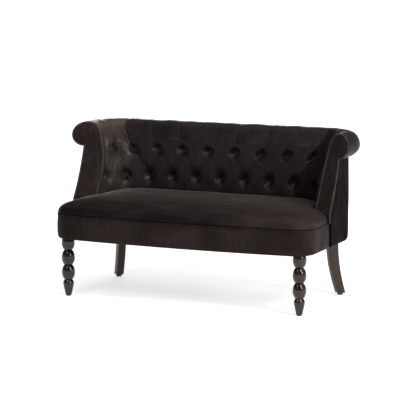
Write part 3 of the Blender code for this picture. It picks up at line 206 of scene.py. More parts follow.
def uneven(points, layers):
    """Unevenness in layers, each as height, wavelength, seed and the scale of the second direction."""
    return sum(height * waves(points * (1.0, scale), length, seed) for height, length, seed, scale in layers)


def at_height(z, x, y):
    """Points over x and y, all at height z or at one height each."""
    return np.stack([x, y, np.broadcast_to(z, np.shape(x))], -1)


def circle(sides):
    """Cosines and sines round a circle."""
    a = 2 * np.pi * np.arange(sides) / sides
    return np.cos(a), np.sin(a)


# Plan lines of the back and arms

def inset_line(line, inset):
    return tuple(v - inset for v in line)


PAD_BACK_LINE = inset_line(FRAME_LINE, BACK_FACE_INSET)
PANEL_INNER_LINE = inset_line(FRAME_LINE, -GAP)


def plan(line, station):
    """x, y and the inward normal's x, y at stations of a plan line."""
    half_width, back_y, radius = line
    station = np.asarray(station, float)
    side = np.where(station < 0, -1.0, 1.0)
    t = np.abs(station)
    straight, centre_y = half_width - radius, back_y - radius
    angle = np.clip(t - BACK_END, 0.0, 1.0) * math.pi / 2
    x = straight * np.minimum(t, BACK_END) + radius * np.sin(angle)
    y = centre_y + radius * np.cos(angle)
    y = np.where(t > TURN_END, lerp(centre_y, ARM_REFERENCE_Y, t - TURN_END), y)
    return side * x, y, -side * np.sin(angle), -np.cos(angle)


def station_at(s):
    """Station at a signed distance along the inside line."""
    s = np.asarray(s, float)
    side, s = np.where(s < 0, -1.0, 1.0), np.abs(s)
    back = s / CORNER_START
    turn = BACK_END + (s - CORNER_START) / (CORNER_END - CORNER_START)
    arm = TURN_END + (s - CORNER_END) / ARM_LENGTH
    return side * np.where(s <= CORNER_START, back, np.where(s <= CORNER_END, turn, arm))


def distance_at(station):
    if station <= BACK_END:
        return station * CORNER_START
    if station <= TURN_END:
        return lerp(CORNER_START, CORNER_END, station - BACK_END)
    return CORNER_END + (station - TURN_END) * ARM_LENGTH


def front_y(x, z):
    """The swept surface of the arm fronts."""
    up = np.asarray(z, float) - FRONT_FOOT_Z
    skew = -FRONT_SKEW * (np.abs(x) - FRONT_FOOT_X)
    rake = np.where(up < 0, -FRONT_UNDERCUT * up, FRONT_RAKE * up * (1 - up / (2 * FRONT_UPRIGHT_RISE)))
    return FRONT_FOOT_Y + skew + rake


def end_distance(place, offset):
    """Distance along the inside line at which place(station) meets the arm front moved back by offset."""
    low, high = BACK_END, TURN_END + 1.0
    for _ in range(30):
        middle = (low + high) / 2
        x, y, z = place(middle)
        if y > front_y(x, z) + offset:
            low = middle
        else:
            high = middle
    return distance_at((low + high) / 2)


# Meshes

def to_world(points):
    points = np.asarray(points, float).reshape(-1, 3).copy()
    points[:, 1] += LEG_LINE_Y
    return points


def mesh_object(name, points, faces, material, smooth_angle=60.0, world=False):
    mesh = bpy.data.meshes.new(name)
    points = np.asarray(points, float) if world else to_world(points)
    mesh.from_pydata(points.tolist(), [], faces)
    bm = bmesh.new()
    bm.from_mesh(mesh)
    bmesh.ops.remove_doubles(bm, verts=bm.verts, dist=1e-6)
    bmesh.ops.recalc_face_normals(bm, faces=bm.faces)
    bm.to_mesh(mesh)
    bm.free()
    mesh.shade_smooth()
    mesh.set_sharp_from_angle(angle=math.radians(smooth_angle))
    mesh.materials.append(material)
    obj = bpy.data.objects.new(name, mesh)
    bpy.context.scene.collection.objects.link(obj)
    return obj


def dress(obj, slot, *nodes):
    """Seats a finished piece on the settee's one body."""
    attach(obj, "root")
    if nodes:
        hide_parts(*nodes)
    return obj


def ring_faces(count, size, first=0):
    """Quads between count closed rings of size points."""
    faces = []
    for r in range(count - 1):
        for i in range(size):
            j = (i + 1) % size
            a, b = first + r * size, first + (r + 1) * size
            faces.append((a + i, a + j, b + j, b + i))
    return faces


def ring_indices(k, size, first=0):
    return tuple(first + k * size + i for i in range(size))


def end_faces(points, indices):
    """Short faces that close an upright ring, so that the end keeps the ring's curve."""
    spread = points[:, :2] - points[:, :2].mean(axis=0)
    across = spread @ np.linalg.svd(spread, full_matrices=False)[2][0]
    size = len(points)
    flat = [Vector(place) for place in zip(across, points[:, 2])]
    made = delaunay_2d_cdt(flat, [(i, (i + 1) % size) for i in range(size)], [], 1, 1e-9)
    if len(made[0]) != size:
        return [tuple(indices)]
    return [tuple(indices[i] for i in face) for face in made[2]]


def loft(name, rings, material, smooth_angle=60.0, curved_ends=False):
    """A solid through an (n, m, 3) stack of closed rings, both ends closed."""
    rings = np.asarray(rings, float)
    count, size = rings.shape[:2]
    faces = ring_faces(count, size)
    for k in (0, count - 1):
        indices = ring_indices(k, size)
        faces += end_faces(rings[k], indices) if curved_ends else [indices]
    return mesh_object(name, rings.reshape(-1, 3), faces, material, smooth_angle)


def zip_rows(a, b, first_a, first_b, faces):
    """Faces between two rows whose points lie at rising parameters a and b."""
    i = j = 0
    while i < len(a) - 1 or j < len(b) - 1:
        step_a = a[i + 1] if i < len(a) - 1 else np.inf
        step_b = b[j + 1] if j < len(b) - 1 else np.inf
        if abs(step_a - step_b) < 1e-7:
            faces.append((first_a + i, first_a + i + 1, first_b + j + 1, first_b + j))
            i, j = i + 1, j + 1
        elif step_a < step_b:
            faces.append((first_a + i, first_a + i + 1, first_b + j))
            i += 1
        else:
            faces.append((first_a + i, first_b + j + 1, first_b + j))
            j += 1


def rows_object(name, rows, material, smooth_angle=60.0):
    """A form from rows (parameters, points) that go once round its section, closed at both ends."""
    starts = np.cumsum([0] + [len(params) for params, _ in rows])
    faces = []
    for k in range(len(rows)):
        n = (k + 1) % len(rows)
        zip_rows(rows[k][0], rows[n][0], int(starts[k]), int(starts[n]), faces)
    faces += end_faces(np.array([points[0] for _, points in rows]), [int(v) for v in starts[:-1]])
    faces += end_faces(np.array([points[-1] for _, points in rows]), [int(v) - 1 for v in starts[1:]])
    points = np.concatenate([points for _, points in rows])
    return mesh_object(name, points, faces, material, smooth_angle)


def welt_cord(name, path, material, seed):
    """Covered piping along a path of points, closed at both ends and a little uneven."""
    tangents = np.gradient(path, axis=0)
    tangents /= np.linalg.norm(tangents, axis=1)[:, None]
    travelled = np.concatenate([[0.0], np.cumsum(np.linalg.norm(np.diff(path, axis=0), axis=1))])
    radii = WELT_RADIUS * (1 + WELT_UNEVEN * waves(travelled[:, None], WELT_UNEVEN_LENGTH, seed))
    steep = abs(tangents[0][2]) > 0.9
    normal = np.array([1.0, 0.0, 0.0] if steep else [0.0, 0.0, 1.0])
    cosines, sines = circle(WELT_SIDES)
    rings = []
    for point, tangent, radius in zip(path, tangents, radii):
        normal = normal - tangent * (normal @ tangent)
        normal /= np.linalg.norm(normal)
        binormal = np.cross(tangent, normal)
        rings.append(point + radius * (np.outer(cosines, normal) + np.outer(sines, binormal)))
    return loft(name, rings, material, 70)


def refined(path, step):
    """The path with points added evenly along a smooth curve through it."""
    lengths = np.linalg.norm(np.diff(path, axis=0), axis=1)
    before = np.vstack([2 * path[0] - path[1], path, 2 * path[-1] - path[-2]])
    points = []
    for k, length in enumerate(lengths):
        p0, p1, p2, p3 = before[k:k + 4]
        count = max(1, round(length / step))
        for t in np.arange(count) / count:
            points.append(0.5 * (2 * p1 + (p2 - p0) * t + (2 * p0 - 5 * p1 + 4 * p2 - p3) * t * t
                                 + (3 * p1 - p0 - 3 * p2 + p3) * t ** 3))
    points.append(path[-1])
    return np.array(points)


# Materials

class Nodes:
    """Short calls for building the node tree of a material or of the world."""

    def __init__(self, owner):
        owner.use_nodes = True
        self.owner, self.tree = owner, owner.node_tree
        self.places = self.tree.nodes.new("ShaderNodeTexCoord").outputs
        self.coordinates = self.places["Object"]

    def fill(self, node, inputs):
        """Gives a node's sockets their values or links."""
        for key, value in dict(inputs).items():
            if isinstance(value, bpy.types.NodeSocket):
                self.tree.links.new(value, node.inputs[key])
            else:
                node.inputs[key].default_value = value
        return node

    def node(self, kind, inputs=(), **settings):
        made = self.tree.nodes.new(kind)
        for key, value in settings.items():
            setattr(made, key, value)
        return self.fill(made, inputs)

    def scaled(self, scale):
        inputs = {"Vector": self.coordinates, "Scale": scale}
        return self.node("ShaderNodeMapping", inputs).outputs["Vector"]

    def noise(self, scale, detail=3.0, roughness=0.5, vector=None, distortion=0.0):
        inputs = {"Vector": vector or self.coordinates, "Scale": scale, "Detail": detail,
                  "Roughness": roughness, "Distortion": distortion}
        return self.node("ShaderNodeTexNoise", inputs).outputs["Fac"]

    def ramp(self, value, stops):
        made = self.node("ShaderNodeValToRGB", {"Fac": value})
        ramp = made.color_ramp
        while len(ramp.elements) < len(stops):
            ramp.elements.new(0.5)
        for element, (place, colour) in zip(ramp.elements, stops):
            element.position, element.color = place, (*colour, 1.0)
        return made.outputs["Color"]

    def remap(self, value, low, high, to_low, to_high, shape="LINEAR"):
        inputs = {"Value": value, "From Min": low, "From Max": high, "To Min": to_low, "To Max": to_high}
        return self.node("ShaderNodeMapRange", inputs, interpolation_type=shape).outputs["Result"]

    def math(self, operation, a, b=0.0):
        return self.node("ShaderNodeMath", {0: a, 1: b}, operation=operation).outputs["Value"]

    def blend(self, a, b, share):
        """a and b mixed, with the given share of b."""
        return self.math("ADD", self.math("MULTIPLY", a, 1 - share), self.math("MULTIPLY", b, share))

    def bump(self, height, strength, distance, normal=None):
        inputs = {"Height": height, "Strength": strength, "Distance": distance}
        if normal:
            inputs["Normal"] = normal
        return self.node("ShaderNodeBump", inputs).outputs["Normal"]

    def surface(self, **values):
        """The material, with the shader's sockets set: an underscore in a name stands for a space."""
        sockets = {key.replace("_", " "): value for key, value in values.items()}
        self.fill(self.tree.nodes["Principled BSDF"], sockets)
        return self.owner


def material_nodes(name):
    return Nodes(bpy.data.materials.new(name))


VELVET_SHADES = ((0.38, (0.0066, 0.0045, 0.0038)), (0.50, (0.0108, 0.0074, 0.0065)),
                 (0.64, (0.0185, 0.0130, 0.0114)))
VELVET_PAINTED_LIGHT = (0.030, 0.0225, 0.0205, 1.0)  # painted light: colour added where a painted sheen or highlight is full
VELVET_SHEEN = (0.62, 0.53, 0.50, 1.0)
VELVET_GLOSS = (1.0, 0.90, 0.86, 1.0)
LACQUER_SHADES = ((0.35, (0.0080, 0.0044, 0.0034)), (0.65, (0.0220, 0.0128, 0.0100)))


def shaded(shades, level):
    return [(place, tuple(level * v for v in shade)) for place, shade in shades]


def velvet_material(name, depth, sheen, gloss, rough=0.70, pile=0.34, strokes_along=(46.0, 46.0, 7.0),
                    stroke_share=0.5, painted_light=()):
    """Near-black short pile: patches of tone, a fine nap and a grey sheen where it turns away.

    Each painted-light area is a lift of the colour that paints in sheen and highlights: an axis, the places
    on it where the lift starts and is full, its amount, and how far its edge wanders.
    """
    m = material_nodes(name)
    patches = m.noise(5.5, 4.0, 0.55, distortion=0.6)
    strokes = m.noise(1.0, 3.0, 0.65, m.scaled(strokes_along))
    mixed = m.blend(patches, strokes, stroke_share)
    colour = m.ramp(mixed, shaded(VELVET_SHADES, depth))
    # Painted light: each area lifts the colour along an axis, painting in sheen and highlights
    for axis, start, end, amount, wander in painted_light:
        across = m.node("ShaderNodeSeparateXYZ", {"Vector": m.coordinates}).outputs[axis]
        wandering = m.math("ADD", across, m.math("MULTIPLY", m.math("SUBTRACT", patches, 0.5), wander))
        inputs = {0: m.remap(wandering, start, end, 0.0, amount), 6: colour, 7: VELVET_PAINTED_LIGHT}
        colour = m.node("ShaderNodeMix", inputs, data_type="RGBA", blend_type="ADD").outputs[2]
    nap = m.noise(900.0, 2.0, 0.7)
    tufts = m.noise(160.0, 3.0, 0.6)
    soft = m.bump(mixed, 0.12, 0.004)
    normal = m.bump(nap, 0.30, 0.0006, m.bump(tufts, 0.16, 0.0010, soft))
    return m.surface(Base_Color=colour, Roughness=m.remap(mixed, 0.35, 0.65, rough + 0.09, rough - 0.09),
                     Normal=normal, Sheen_Weight=sheen, Sheen_Roughness=pile, Sheen_Tint=VELVET_SHEEN,
                     Specular_IOR_Level=gloss, Specular_Tint=VELVET_GLOSS)


def lacquer_material(name, light, rough, coat):
    """Espresso-black lacquer over close-grained hardwood."""
    m = material_nodes(name)
    grain = m.noise(1.0, 5.0, 0.65, m.scaled((240.0, 240.0, 9.0)), distortion=0.4)
    clouds = m.noise(14.0, 2.0, 0.5)
    colour = m.ramp(m.blend(grain, clouds, 0.4), shaded(LACQUER_SHADES, light))
    ripple = m.noise(55.0, 2.0, 0.5)
    normal = m.bump(ripple, 0.10, 0.0006, m.bump(grain, 0.05, 0.0003))
    return m.surface(Base_Color=colour, Roughness=m.remap(clouds, 0.35, 0.65, rough - 0.03, rough + 0.07),
                     Normal=normal, Coat_Weight=coat, Coat_Roughness=0.06, Coat_Tint=(1.0, 0.93, 0.90, 1.0),
                     Specular_IOR_Level=0.36, Specular_Tint=(1.0, 0.88, 0.80, 1.0))


def birch_material():
    m = material_nodes("birch_timber")
    grain = m.noise(1.0, 6.0, 0.7, m.scaled((9.0, 9.0, 120.0)), distortion=0.8)
    rings = m.noise(1.0, 3.0, 0.5, m.scaled((3.0, 3.0, 40.0)))
    shades = ((0.30, (0.42, 0.27, 0.15)), (0.55, (0.60, 0.43, 0.27)), (0.75, (0.70, 0.54, 0.36)))
    return m.surface(Base_Color=m.ramp(m.blend(grain, rings, 0.4), shades),
                     Roughness=m.remap(grain, 0.2, 0.8, 0.50, 0.72), Normal=m.bump(grain, 0.25, 0.0008))


def woven_material(name, light, dark, threads, depth):
    """A plain weave of crossing threads."""
    m = material_nodes(name)
    xyz = m.node("ShaderNodeSeparateXYZ", {"Vector": m.coordinates}).outputs
    turns = [m.math("MULTIPLY", m.math("ADD", xyz[axis], xyz["Z"]), threads) for axis in "XY"]
    weave = m.math("MULTIPLY", *(m.math("SINE", turn) for turn in turns))
    fuzz = m.noise(300.0, 3.0, 0.6)
    colour = m.ramp(m.math("ADD", m.remap(weave, -1, 1, 0.0, 0.6), m.math("MULTIPLY", fuzz, 0.4)),
                    ((0.2, dark), (0.8, light)))
    normal = m.bump(fuzz, 0.2, 0.0005, m.bump(weave, 0.5, depth))
    return m.surface(Base_Color=colour, Roughness=m.remap(fuzz, 0.3, 0.7, 0.95, 0.8), Normal=normal)


def plastic_material():
    m = material_nodes("moulded_plastic")
    speckle = m.noise(400.0, 3.0, 0.6)
    colour = m.ramp(m.noise(60.0, 3.0, 0.5), ((0.3, (0.012, 0.012, 0.012)), (0.7, (0.028, 0.027, 0.026))))
    return m.surface(Base_Color=colour, Roughness=m.remap(speckle, 0.3, 0.7, 0.38, 0.58),
                     Normal=m.bump(speckle, 0.25, 0.0003))


# Lit and shaded copies of one velvet: each piece's depth, sheen and lifts paint in how the lamps fall on it
# Painted highlight on the back cover: its colour lifted towards the left corner
velvet = velvet_material("cover_velvet", 0.90, 0.60, 0.15, 0.40, 0.30,
                         painted_light=[("X", -0.34, -0.60, 0.75, 0.3)])
# Painted highlights on the left arm: lighter out from the corner seam and over its upper part, strongest
# along the roll's crown
LEFT_ARM_PAINTED_LIGHT = [("X", -0.36, -0.50, 0.42, 0.2), ("Z", 0.60, 0.66, 0.40, 0.03),
                    ("Z", 0.672, 0.704, 2.2, 0.03)]
# The arms as a lit copy with more sheen on the left and a shaded copy with little on the right
arm_velvets = {
    "left": velvet_material("left_arm_velvet", 0.95, 0.95, 0.24, 0.40, 0.30, painted_light=LEFT_ARM_PAINTED_LIGHT),
    "right": velvet_material("right_arm_velvet", 0.72, 0.22, 0.05, 0.50, 0.30)}
# Painted sheen on the seat: its colour lifted towards the right end
seat_velvet = velvet_material("seat_velvet", 0.95, 0.42, 0.07, 0.50, 0.24, (7.0, 60.0, 46.0), 0.4,
                              [("X", 0.12, 0.62, 0.6, 0.3)])
# Painted light on the seat strip: its colour lifted from x 0.40 leftwards, fully from x 0.10
strip_velvet = velvet_material("strip_velvet", 1.40, 0.18, 0.08, 0.62, 0.34, (90.0, 90.0, 40.0), 0.35,
                               [("X", 0.40, 0.10, 0.14, 0.2)])
# Painted shade: the outside arm panels kept darker than the lamps would show them
panel_velvet = velvet_material("panel_velvet", 0.38, 0.03, 0.02)
# Painted light: the outside back lighter than the arm panels, where fewer lamps reach
back_velvet = velvet_material("back_velvet", 0.90, 0.14, 0.05, 0.60)
facing_velvet = velvet_material("facing_velvet", 1.5, 0.20, 0.08, 0.60)
# Painted highlight: the facing piping much lighter and sheenier than the covers round it
piping_velvet = velvet_material("piping_velvet", 2.4, 0.80, 0.34)
welt_velvet = velvet_material("welt_velvet", 1.2, 0.20, 0.10)
lacquer = lacquer_material("black_lacquer_finish", 0.6, 0.14, 0.30)
satin_lacquer = lacquer_material("satin_black_lacquer", 1.5, 0.42, 0.10)
birch = birch_material()
webbing_cloth = woven_material("jute_webbing", (0.36, 0.29, 0.20), (0.19, 0.15, 0.10), 2800.0, 0.0006)
dust_cloth = woven_material("dust_cover_weave", (0.026, 0.026, 0.027), (0.010, 0.010, 0.011), 4200.0,
                            0.0002)
plastic = plastic_material()


# The deep-buttoned inside covers

CELLS = 48  # cells for each button pitch
CELL = PITCH / CELLS
ROW_DROP = TOP_ROW_Z - LOW_ROW_Z
LIFT = 0.0115
SWELL = 0.0025  # further stand of the middle of a pillow
SWELL_REACH = 0.4 * PITCH
CREASE = 0.0012  # sharp part of a pleat
CREASE_ABOVE = 0.0022  # its reach under the upper pillow
CREASE_BELOW = 0.0046  # and over the lower one
VALLEY = 0.0013  # broad part of a pleat
VALLEY_REACH = 0.016
WELL = 0.0110  # broad dip round a button
WELL_REACH = 0.030
PIT = 0.0125  # steep-sided pit that holds the button
PIT_FLOOR = 0.0060  # its radius at the bottom
PIT_WALL = 0.0250  # and the width of its wall
PUCKER = 0.0020  # height of the fold of cloth that stands below a button
PUCKER_REACH = 0.0240  # its distance from the button's centre
PUCKER_WIDTH = 0.0034
PUCKER_TURN = -math.radians(108)  # its direction from the button
LIP = 0.0024  # height of the thin folds beside a pleat
LIP_WIDTH = 0.0030
LIPS = ((0.0060, 1.0), (0.0130, 0.5))  # their distances from the pleat, and shares of the height
LIP_START, LIP_FADE = 0.020, 0.012  # its lips start this far from a button, and set in over the second length
ROLL_CREASE, ROLL_CREASE_REACH = 0.0018, 0.0028  # the pleats of the roll: depth and reach of the sharp part
ROLL_VALLEY, ROLL_VALLEY_REACH = 0.0008, 0.014  # of the broad part
ROLL_LIP, ROLL_LIP_PLACE, ROLL_LIP_WIDTH = 0.0008, 0.0050, 0.0018  # and of the thin fold beside them
CORNER_CREASE = 0.9  # how much deeper the roll's pleats are round the corners
CORNER_FADE = 0.04
PLEAT_END = math.radians(120)  # turn round the roll at which its pleats have faded out
PLEAT_FADE = math.radians(110)
GATHER = 0.0007  # height of the small gathers round a button
GATHER_PLACE = 0.018
GATHER_WIDTH = 0.007
GATHERS = 11
FRONT_MARGIN = 0.050  # the stuffing runs out over this length towards the arm front
FRONT_EDGE = 0.020  # and the wells and the roll's pleats over this one
COVER_FOOT_Z = SEAT_TOP_Z - 0.034
FOOT_RISE = 0.020  # height over which the stuffing swells out behind the seat
SETTLE_ABOVE = 0.012  # the face's stuffing has run out at this height over its join with the roll
SETTLE_REACH = 0.060  # and is full this far below that
COVER_WAVES = ((0.0008, 0.085, 5, 1.0), (0.0003, 0.018, 6, 0.4))
LAP = 0.0010  # sideways draw of the cloth into a pleat
LAP_REACH = 0.005  # its distance above the pleat, and its width
SEAM_GAP = 0.0008

# Small folds that run out of the buttons: ranges of lean, length, depth and width
FOLD_REACH = 0.09  # rows further than this from a fold's middle don't meet it
FOLD_TOP, FOLD_FADE = 0.070, 0.040  # height over the roll's join at which folds have faded out
FOLD_START = 0.010
FOLD_LEAN = (0.06, 0.42)
FOLD_LENGTHS = {1.0: (0.035, 0.085), -1.0: (0.020, 0.040)}  # above the top row, below the low row
FOLD_DEPTH = (0.0010, 0.0026)
FOLD_WIDTH = (0.0024, 0.0042)
FOLD_COUNT, CORNER_FOLD_COUNT = 4, 7
CORNER_FOLD_LENGTH, CORNER_FOLD_DEPTH = 1.5, 1.7  # times those of the others
SIDE_FOLD_START = 0.011
SIDE_FOLD_LEAN = (0.5, 1.35)
SIDE_FOLD_LENGTH = (0.018, 0.036)
SIDE_FOLD_DEPTH = (0.0010, 0.0022)
SIDE_FOLD_WIDTH = (0.0022, 0.0036)


def row_drop(w):
    """0 at and above the top row of buttons, 1 at and below the low row."""
    return np.clip((TOP_ROW_Z - w) / ROW_DROP, 0.0, 1.0)


def seam_s(w):
    """Where the back cover meets an arm cover."""
    return (SEAM_STEPS + 0.5 - row_drop(w) / 2) * PITCH


def buttons_near(s, w):
    """Distance to the nearest button, the angle round it, and its number."""
    best = np.full(np.shape(s), np.inf)
    angle = np.zeros(np.shape(s))
    number = np.zeros(np.shape(s))
    for z, count, first in ((TOP_ROW_Z, TOP_ROW_COUNT, 0), (LOW_ROW_Z, LOW_ROW_COUNT, TOP_ROW_COUNT)):
        place = np.clip(np.round(s / PITCH + (count - 1) / 2), 0, count - 1)
        across, up = s - (place - (count - 1) / 2) * PITCH, w - z
        far = np.hypot(across, up)
        nearer = far < best
        best = np.where(nearer, far, best)
        angle = np.where(nearer, np.arctan2(up, across), angle)
        number = np.where(nearer, first + place, number)
    return best, angle, number


def folds():
    """Small folds that run out of the buttons, each as start, end, depth and width."""
    rng = np.random.default_rng(11)
    found = []
    for z, count, way in ((TOP_ROW_Z, TOP_ROW_COUNT, 1.0), (LOW_ROW_Z, LOW_ROW_COUNT, -1.0)):
        for i in range(count):
            s = (i - (count - 1) / 2) * PITCH
            corner = CORNER_START - 0.02 < abs(s) < CORNER_END - 0.03
            for _ in range(CORNER_FOLD_COUNT if corner else FOLD_COUNT):
                lean = rng.uniform(*FOLD_LEAN) * rng.choice([-1.0, 1.0])
                longer = CORNER_FOLD_LENGTH if corner and way > 0 else 1.0
                length = rng.uniform(*FOLD_LENGTHS[way]) * longer
                start = (s + FOLD_START * math.sin(lean), z + way * FOLD_START)
                end = (s + length * math.sin(lean), z + way * length * math.cos(lean))
                depth = rng.uniform(*FOLD_DEPTH) * (CORNER_FOLD_DEPTH if corner else 1.0)
                found.append((start, end, depth, rng.uniform(*FOLD_WIDTH)))
            for _ in range(FOLD_COUNT):
                lean = rng.uniform(*SIDE_FOLD_LEAN) * rng.choice([-1.0, 1.0])
                length = rng.uniform(*SIDE_FOLD_LENGTH)
                start, end = ((s + reach * math.sin(lean), z - way * reach * math.cos(lean))
                              for reach in (SIDE_FOLD_START, length))
                found.append((start, end, rng.uniform(*SIDE_FOLD_DEPTH), rng.uniform(*SIDE_FOLD_WIDTH)))
    return found


FOLDS = folds()


def fold_relief(s, w):
    """The small folds near a row of the cover, each sunk with a thin lip on one side."""
    total = np.zeros(np.shape(s))
    for (s0, w0), (s1, w1), depth, width in FOLDS:
        if w1 > ROLL_JOIN_Z or abs(w[0] - (w0 + w1) / 2) < FOLD_REACH:
            ds, dw = s1 - s0, w1 - w0
            length = math.hypot(ds, dw)
            along = ((s - s0) * ds + (w - w0) * dw) / length ** 2
            across = ((s - s0) * dw - (w - w0) * ds) / length
            taper = smoothstep(along / 0.15 + 0.4) * smoothstep((1 - along) / 0.7) * (along > -0.3)
            total -= depth * taper * (bump(across, width) - 0.6 * bump(across - 2.0 * width, width * 1.1))
    return total


def pleat_place(s, w):
    """Distance to the nearest pleat, above 0 in the upper pillows, and the side the pleat leans to."""
    drop = row_drop(w)
    phase = (s / PITCH - 0.5) % 1.0
    upper = np.minimum(phase - drop / 2, 1 - drop / 2 - phase) * PITCH
    lean = np.where(phase < 0.5, -1.0, 1.0)
    last = ((TOP_ROW_COUNT - 1) / 2 + drop / 2) * PITCH
    beyond = np.abs(s) - last
    return np.where(beyond > 0, beyond, upper), np.where(beyond > 0, -np.sign(s), lean)


def relief(s, w, edge):
    """How far the stuffed cover stands in front of its plain line."""
    signed, lean = pleat_place(s, w)
    slant = math.cos(math.atan2(PITCH / 2, ROW_DROP))
    between = (w > LOW_ROW_Z) & (w < TOP_ROW_Z)
    away = np.abs(signed) * np.where(between, slant, 1.0)
    side = np.where(between, signed, lean * signed)
    far, angle, number = buttons_near(s, w)
    rise = smoothstep((w - COVER_FOOT_Z) / FOOT_RISE)
    settle = smoothstep((ROLL_JOIN_Z + SETTLE_ABOVE - w) / SETTLE_REACH)
    turn = (w - ROLL_JOIN_Z) / ROLL_RADIUS
    fade = smoothstep((PLEAT_END - turn) / PLEAT_FADE)
    front = smoothstep(edge / FRONT_MARGIN)
    near = smoothstep(edge / FRONT_EDGE)
    crease = CREASE * np.exp(-away / np.where(side > 0, CREASE_ABOVE, CREASE_BELOW))
    valley = VALLEY * bump(away, VALLEY_REACH)
    swell = SWELL * smoothstep(away / SWELL_REACH)
    lip = LIP * sum(share * bump(away - place, LIP_WIDTH) for place, share in LIPS)
    lip = lip * smoothstep((far - LIP_START) / LIP_FADE) * smoothstep((w - LOW_ROW_Z) / ROW_DROP * 1.6 - 0.2)
    on_face = LIFT + swell - crease - valley + lip * between * (side < 0)
    soft_crease = (ROLL_CREASE * np.exp(-away / ROLL_CREASE_REACH)
                   + ROLL_VALLEY * bump(away, ROLL_VALLEY_REACH)
                   - ROLL_LIP * bump(away - ROLL_LIP_PLACE, ROLL_LIP_WIDTH))
    corner = smoothstep((np.abs(s) - CORNER_START + CORNER_FADE) / CORNER_FADE)
    corner = corner * smoothstep((CORNER_END - np.abs(s)) / CORNER_FADE)
    on_roll = fade * near * soft_crease * (1 + CORNER_CREASE * corner)
    height = rise * (front * settle * on_face - (1 - settle) * on_roll)
    well = WELL * bump(far, WELL_REACH) + PIT * (1 - smoothstep((far - PIT_FLOOR) / PIT_WALL))
    # The number of a button varies the gathers and the fold of cloth below it
    gather = GATHER * np.cos(GATHERS * angle + 2.4 * number) * bump(far - GATHER_PLACE, GATHER_WIDTH)
    below = PUCKER_TURN + 0.35 * np.sin(5.1 * number)
    hang = np.clip(0.45 + 0.55 * np.cos(angle - below), 0.0, 1.0)
    spread = PUCKER_REACH + 0.0015 * np.sin(3.3 * number)
    pucker = PUCKER * (0.85 + 0.25 * np.sin(7.7 * number)) * hang
    gather = gather + pucker * bump(far - spread, PUCKER_WIDTH)
    folded = fold_relief(s, w) * smoothstep((ROLL_JOIN_Z + FOLD_TOP - w) / FOLD_FADE)
    cloth = folded + uneven(np.stack([s, w], -1), COVER_WAVES) * rise
    return height - (well - gather) * near + cloth * front


def side_shift(s, w, edge):
    """Sideways draw of the cloth into the pleats, so that each fold laps over its pleat."""
    signed, lean = pleat_place(s, w)
    lap = bump(signed - LAP_REACH, LAP_REACH) * smoothstep(edge / FRONT_MARGIN)
    rise = smoothstep((w - COVER_FOOT_Z) / 0.030) * smoothstep((ROLL_JOIN_Z + 0.05 - w) / 0.08)
    return LAP * lap * rise * lean


def lean_at(z):
    """How far the cover's section has moved over from the inside line to the roll."""
    return np.clip((z - LEAN_START_Z) / (ROLL_JOIN_Z - LEAN_START_Z), 0.0, 1.0) ** LEAN_POWER


def face_place(w, station):
    """Plain point and outward direction of the stuffing at height w along the cover's section."""
    w, station = np.broadcast_arrays(np.asarray(w, float), np.asarray(station, float))
    x, y, nx, ny = plan(INSIDE_LINE, station)
    cx, cy, _, _ = plan(ROLL_LINE, station)
    lean = lean_at(w)
    reach = ROLL_RADIUS * math.cos(ROLL_JOIN)
    turn = ROLL_JOIN + np.maximum(0.0, w - ROLL_JOIN_Z) / ROLL_RADIUS
    on_roll = w > ROLL_JOIN_Z
    face = np.stack([lerp(x, cx + nx * reach, lean), lerp(y, cy + ny * reach, lean), w], -1)
    round_part = np.stack([cx + nx * ROLL_RADIUS * np.cos(turn), cy + ny * ROLL_RADIUS * np.cos(turn),
                           ROLL_Z + ROLL_RADIUS * np.sin(turn)], -1)
    tilt = np.where(on_roll, turn, ROLL_JOIN * lean)
    direction = np.stack([nx * np.cos(tilt), ny * np.cos(tilt), np.sin(tilt)], -1)
    return np.where(on_roll[..., None], round_part, face), direction


def cover_levels():
    """Section positions from the hidden foot up the face and round the roll, each with its row offset."""
    vertical = ROW_DROP / CELLS
    levels = [PAD_BOTTOM_Z]
    below = round((LOW_ROW_Z - COVER_FOOT_Z) / vertical)
    levels += [LOW_ROW_Z - vertical * (below - i) for i in range(below)]
    levels += [LOW_ROW_Z + vertical * i for i in range(CELLS)]
    above = round((ROLL_JOIN_Z - TOP_ROW_Z) / vertical)
    levels += list(lerp(TOP_ROW_Z, ROLL_JOIN_Z, np.arange(above) / above))
    roll_length = (ROLL_END - ROLL_JOIN) * ROLL_RADIUS
    fine = round(roll_length / vertical)
    levels += list(ROLL_JOIN_Z + roll_length * np.arange(fine + 1) / fine)
    return levels


def hidden_places():
    """The cover's hidden side, from the roll round the top rail and down, as functions of the station."""
    under_z = ROLL_Z - math.sqrt(ROLL_RADIUS ** 2 - (SIDE_PANEL_THICKNESS - ROLL_INSET) ** 2)
    rail_under = TOP_RAIL_BOTTOM_Z - GAP
    rail_over = TOP_RAIL_BOTTOM_Z + TOP_RAIL_THICKNESS + GAP

    def at(line, z, outward=0.0):
        def place(station):
            x, y, nx, ny = plan(line, station)
            return x - nx * outward, y - ny * outward, np.full(np.shape(x), z)

        return place

    def below_rail(station):
        x, y, _, _ = plan(PAD_BACK_LINE, station)
        return x, y, rail_under - TOP_RAIL_EASE * np.clip(TURN_END - np.abs(station), 0.0, 1.0)

    down = np.linspace(rail_under - 2 * TOP_RAIL_EASE, PAD_BOTTOM_Z, 14)
    return [at(PANEL_INNER_LINE, under_z), at(PANEL_INNER_LINE, rail_under),
            at(ROLL_LINE, rail_under, TOP_RAIL_OUTER), at(ROLL_LINE, rail_over, TOP_RAIL_OUTER),
            at(ROLL_LINE, rail_over, -TOP_RAIL_INNER), at(ROLL_LINE, rail_under, -TOP_RAIL_INNER),
            below_rail, *(at(PAD_BACK_LINE, z) for z in down)]


def cover_row(w, s, edge=1.0):
    """Points of a stuffed row at section height w, where edge is the distance to the arm's front."""
    w = np.full(len(s), w)
    shifted = s + side_shift(s, w, edge)
    point, direction = face_place(w, station_at(shifted))
    return point + direction * relief(s, w, edge)[:, None]


HIDDEN_COLUMNS = {"back": 60, "arm": 30}


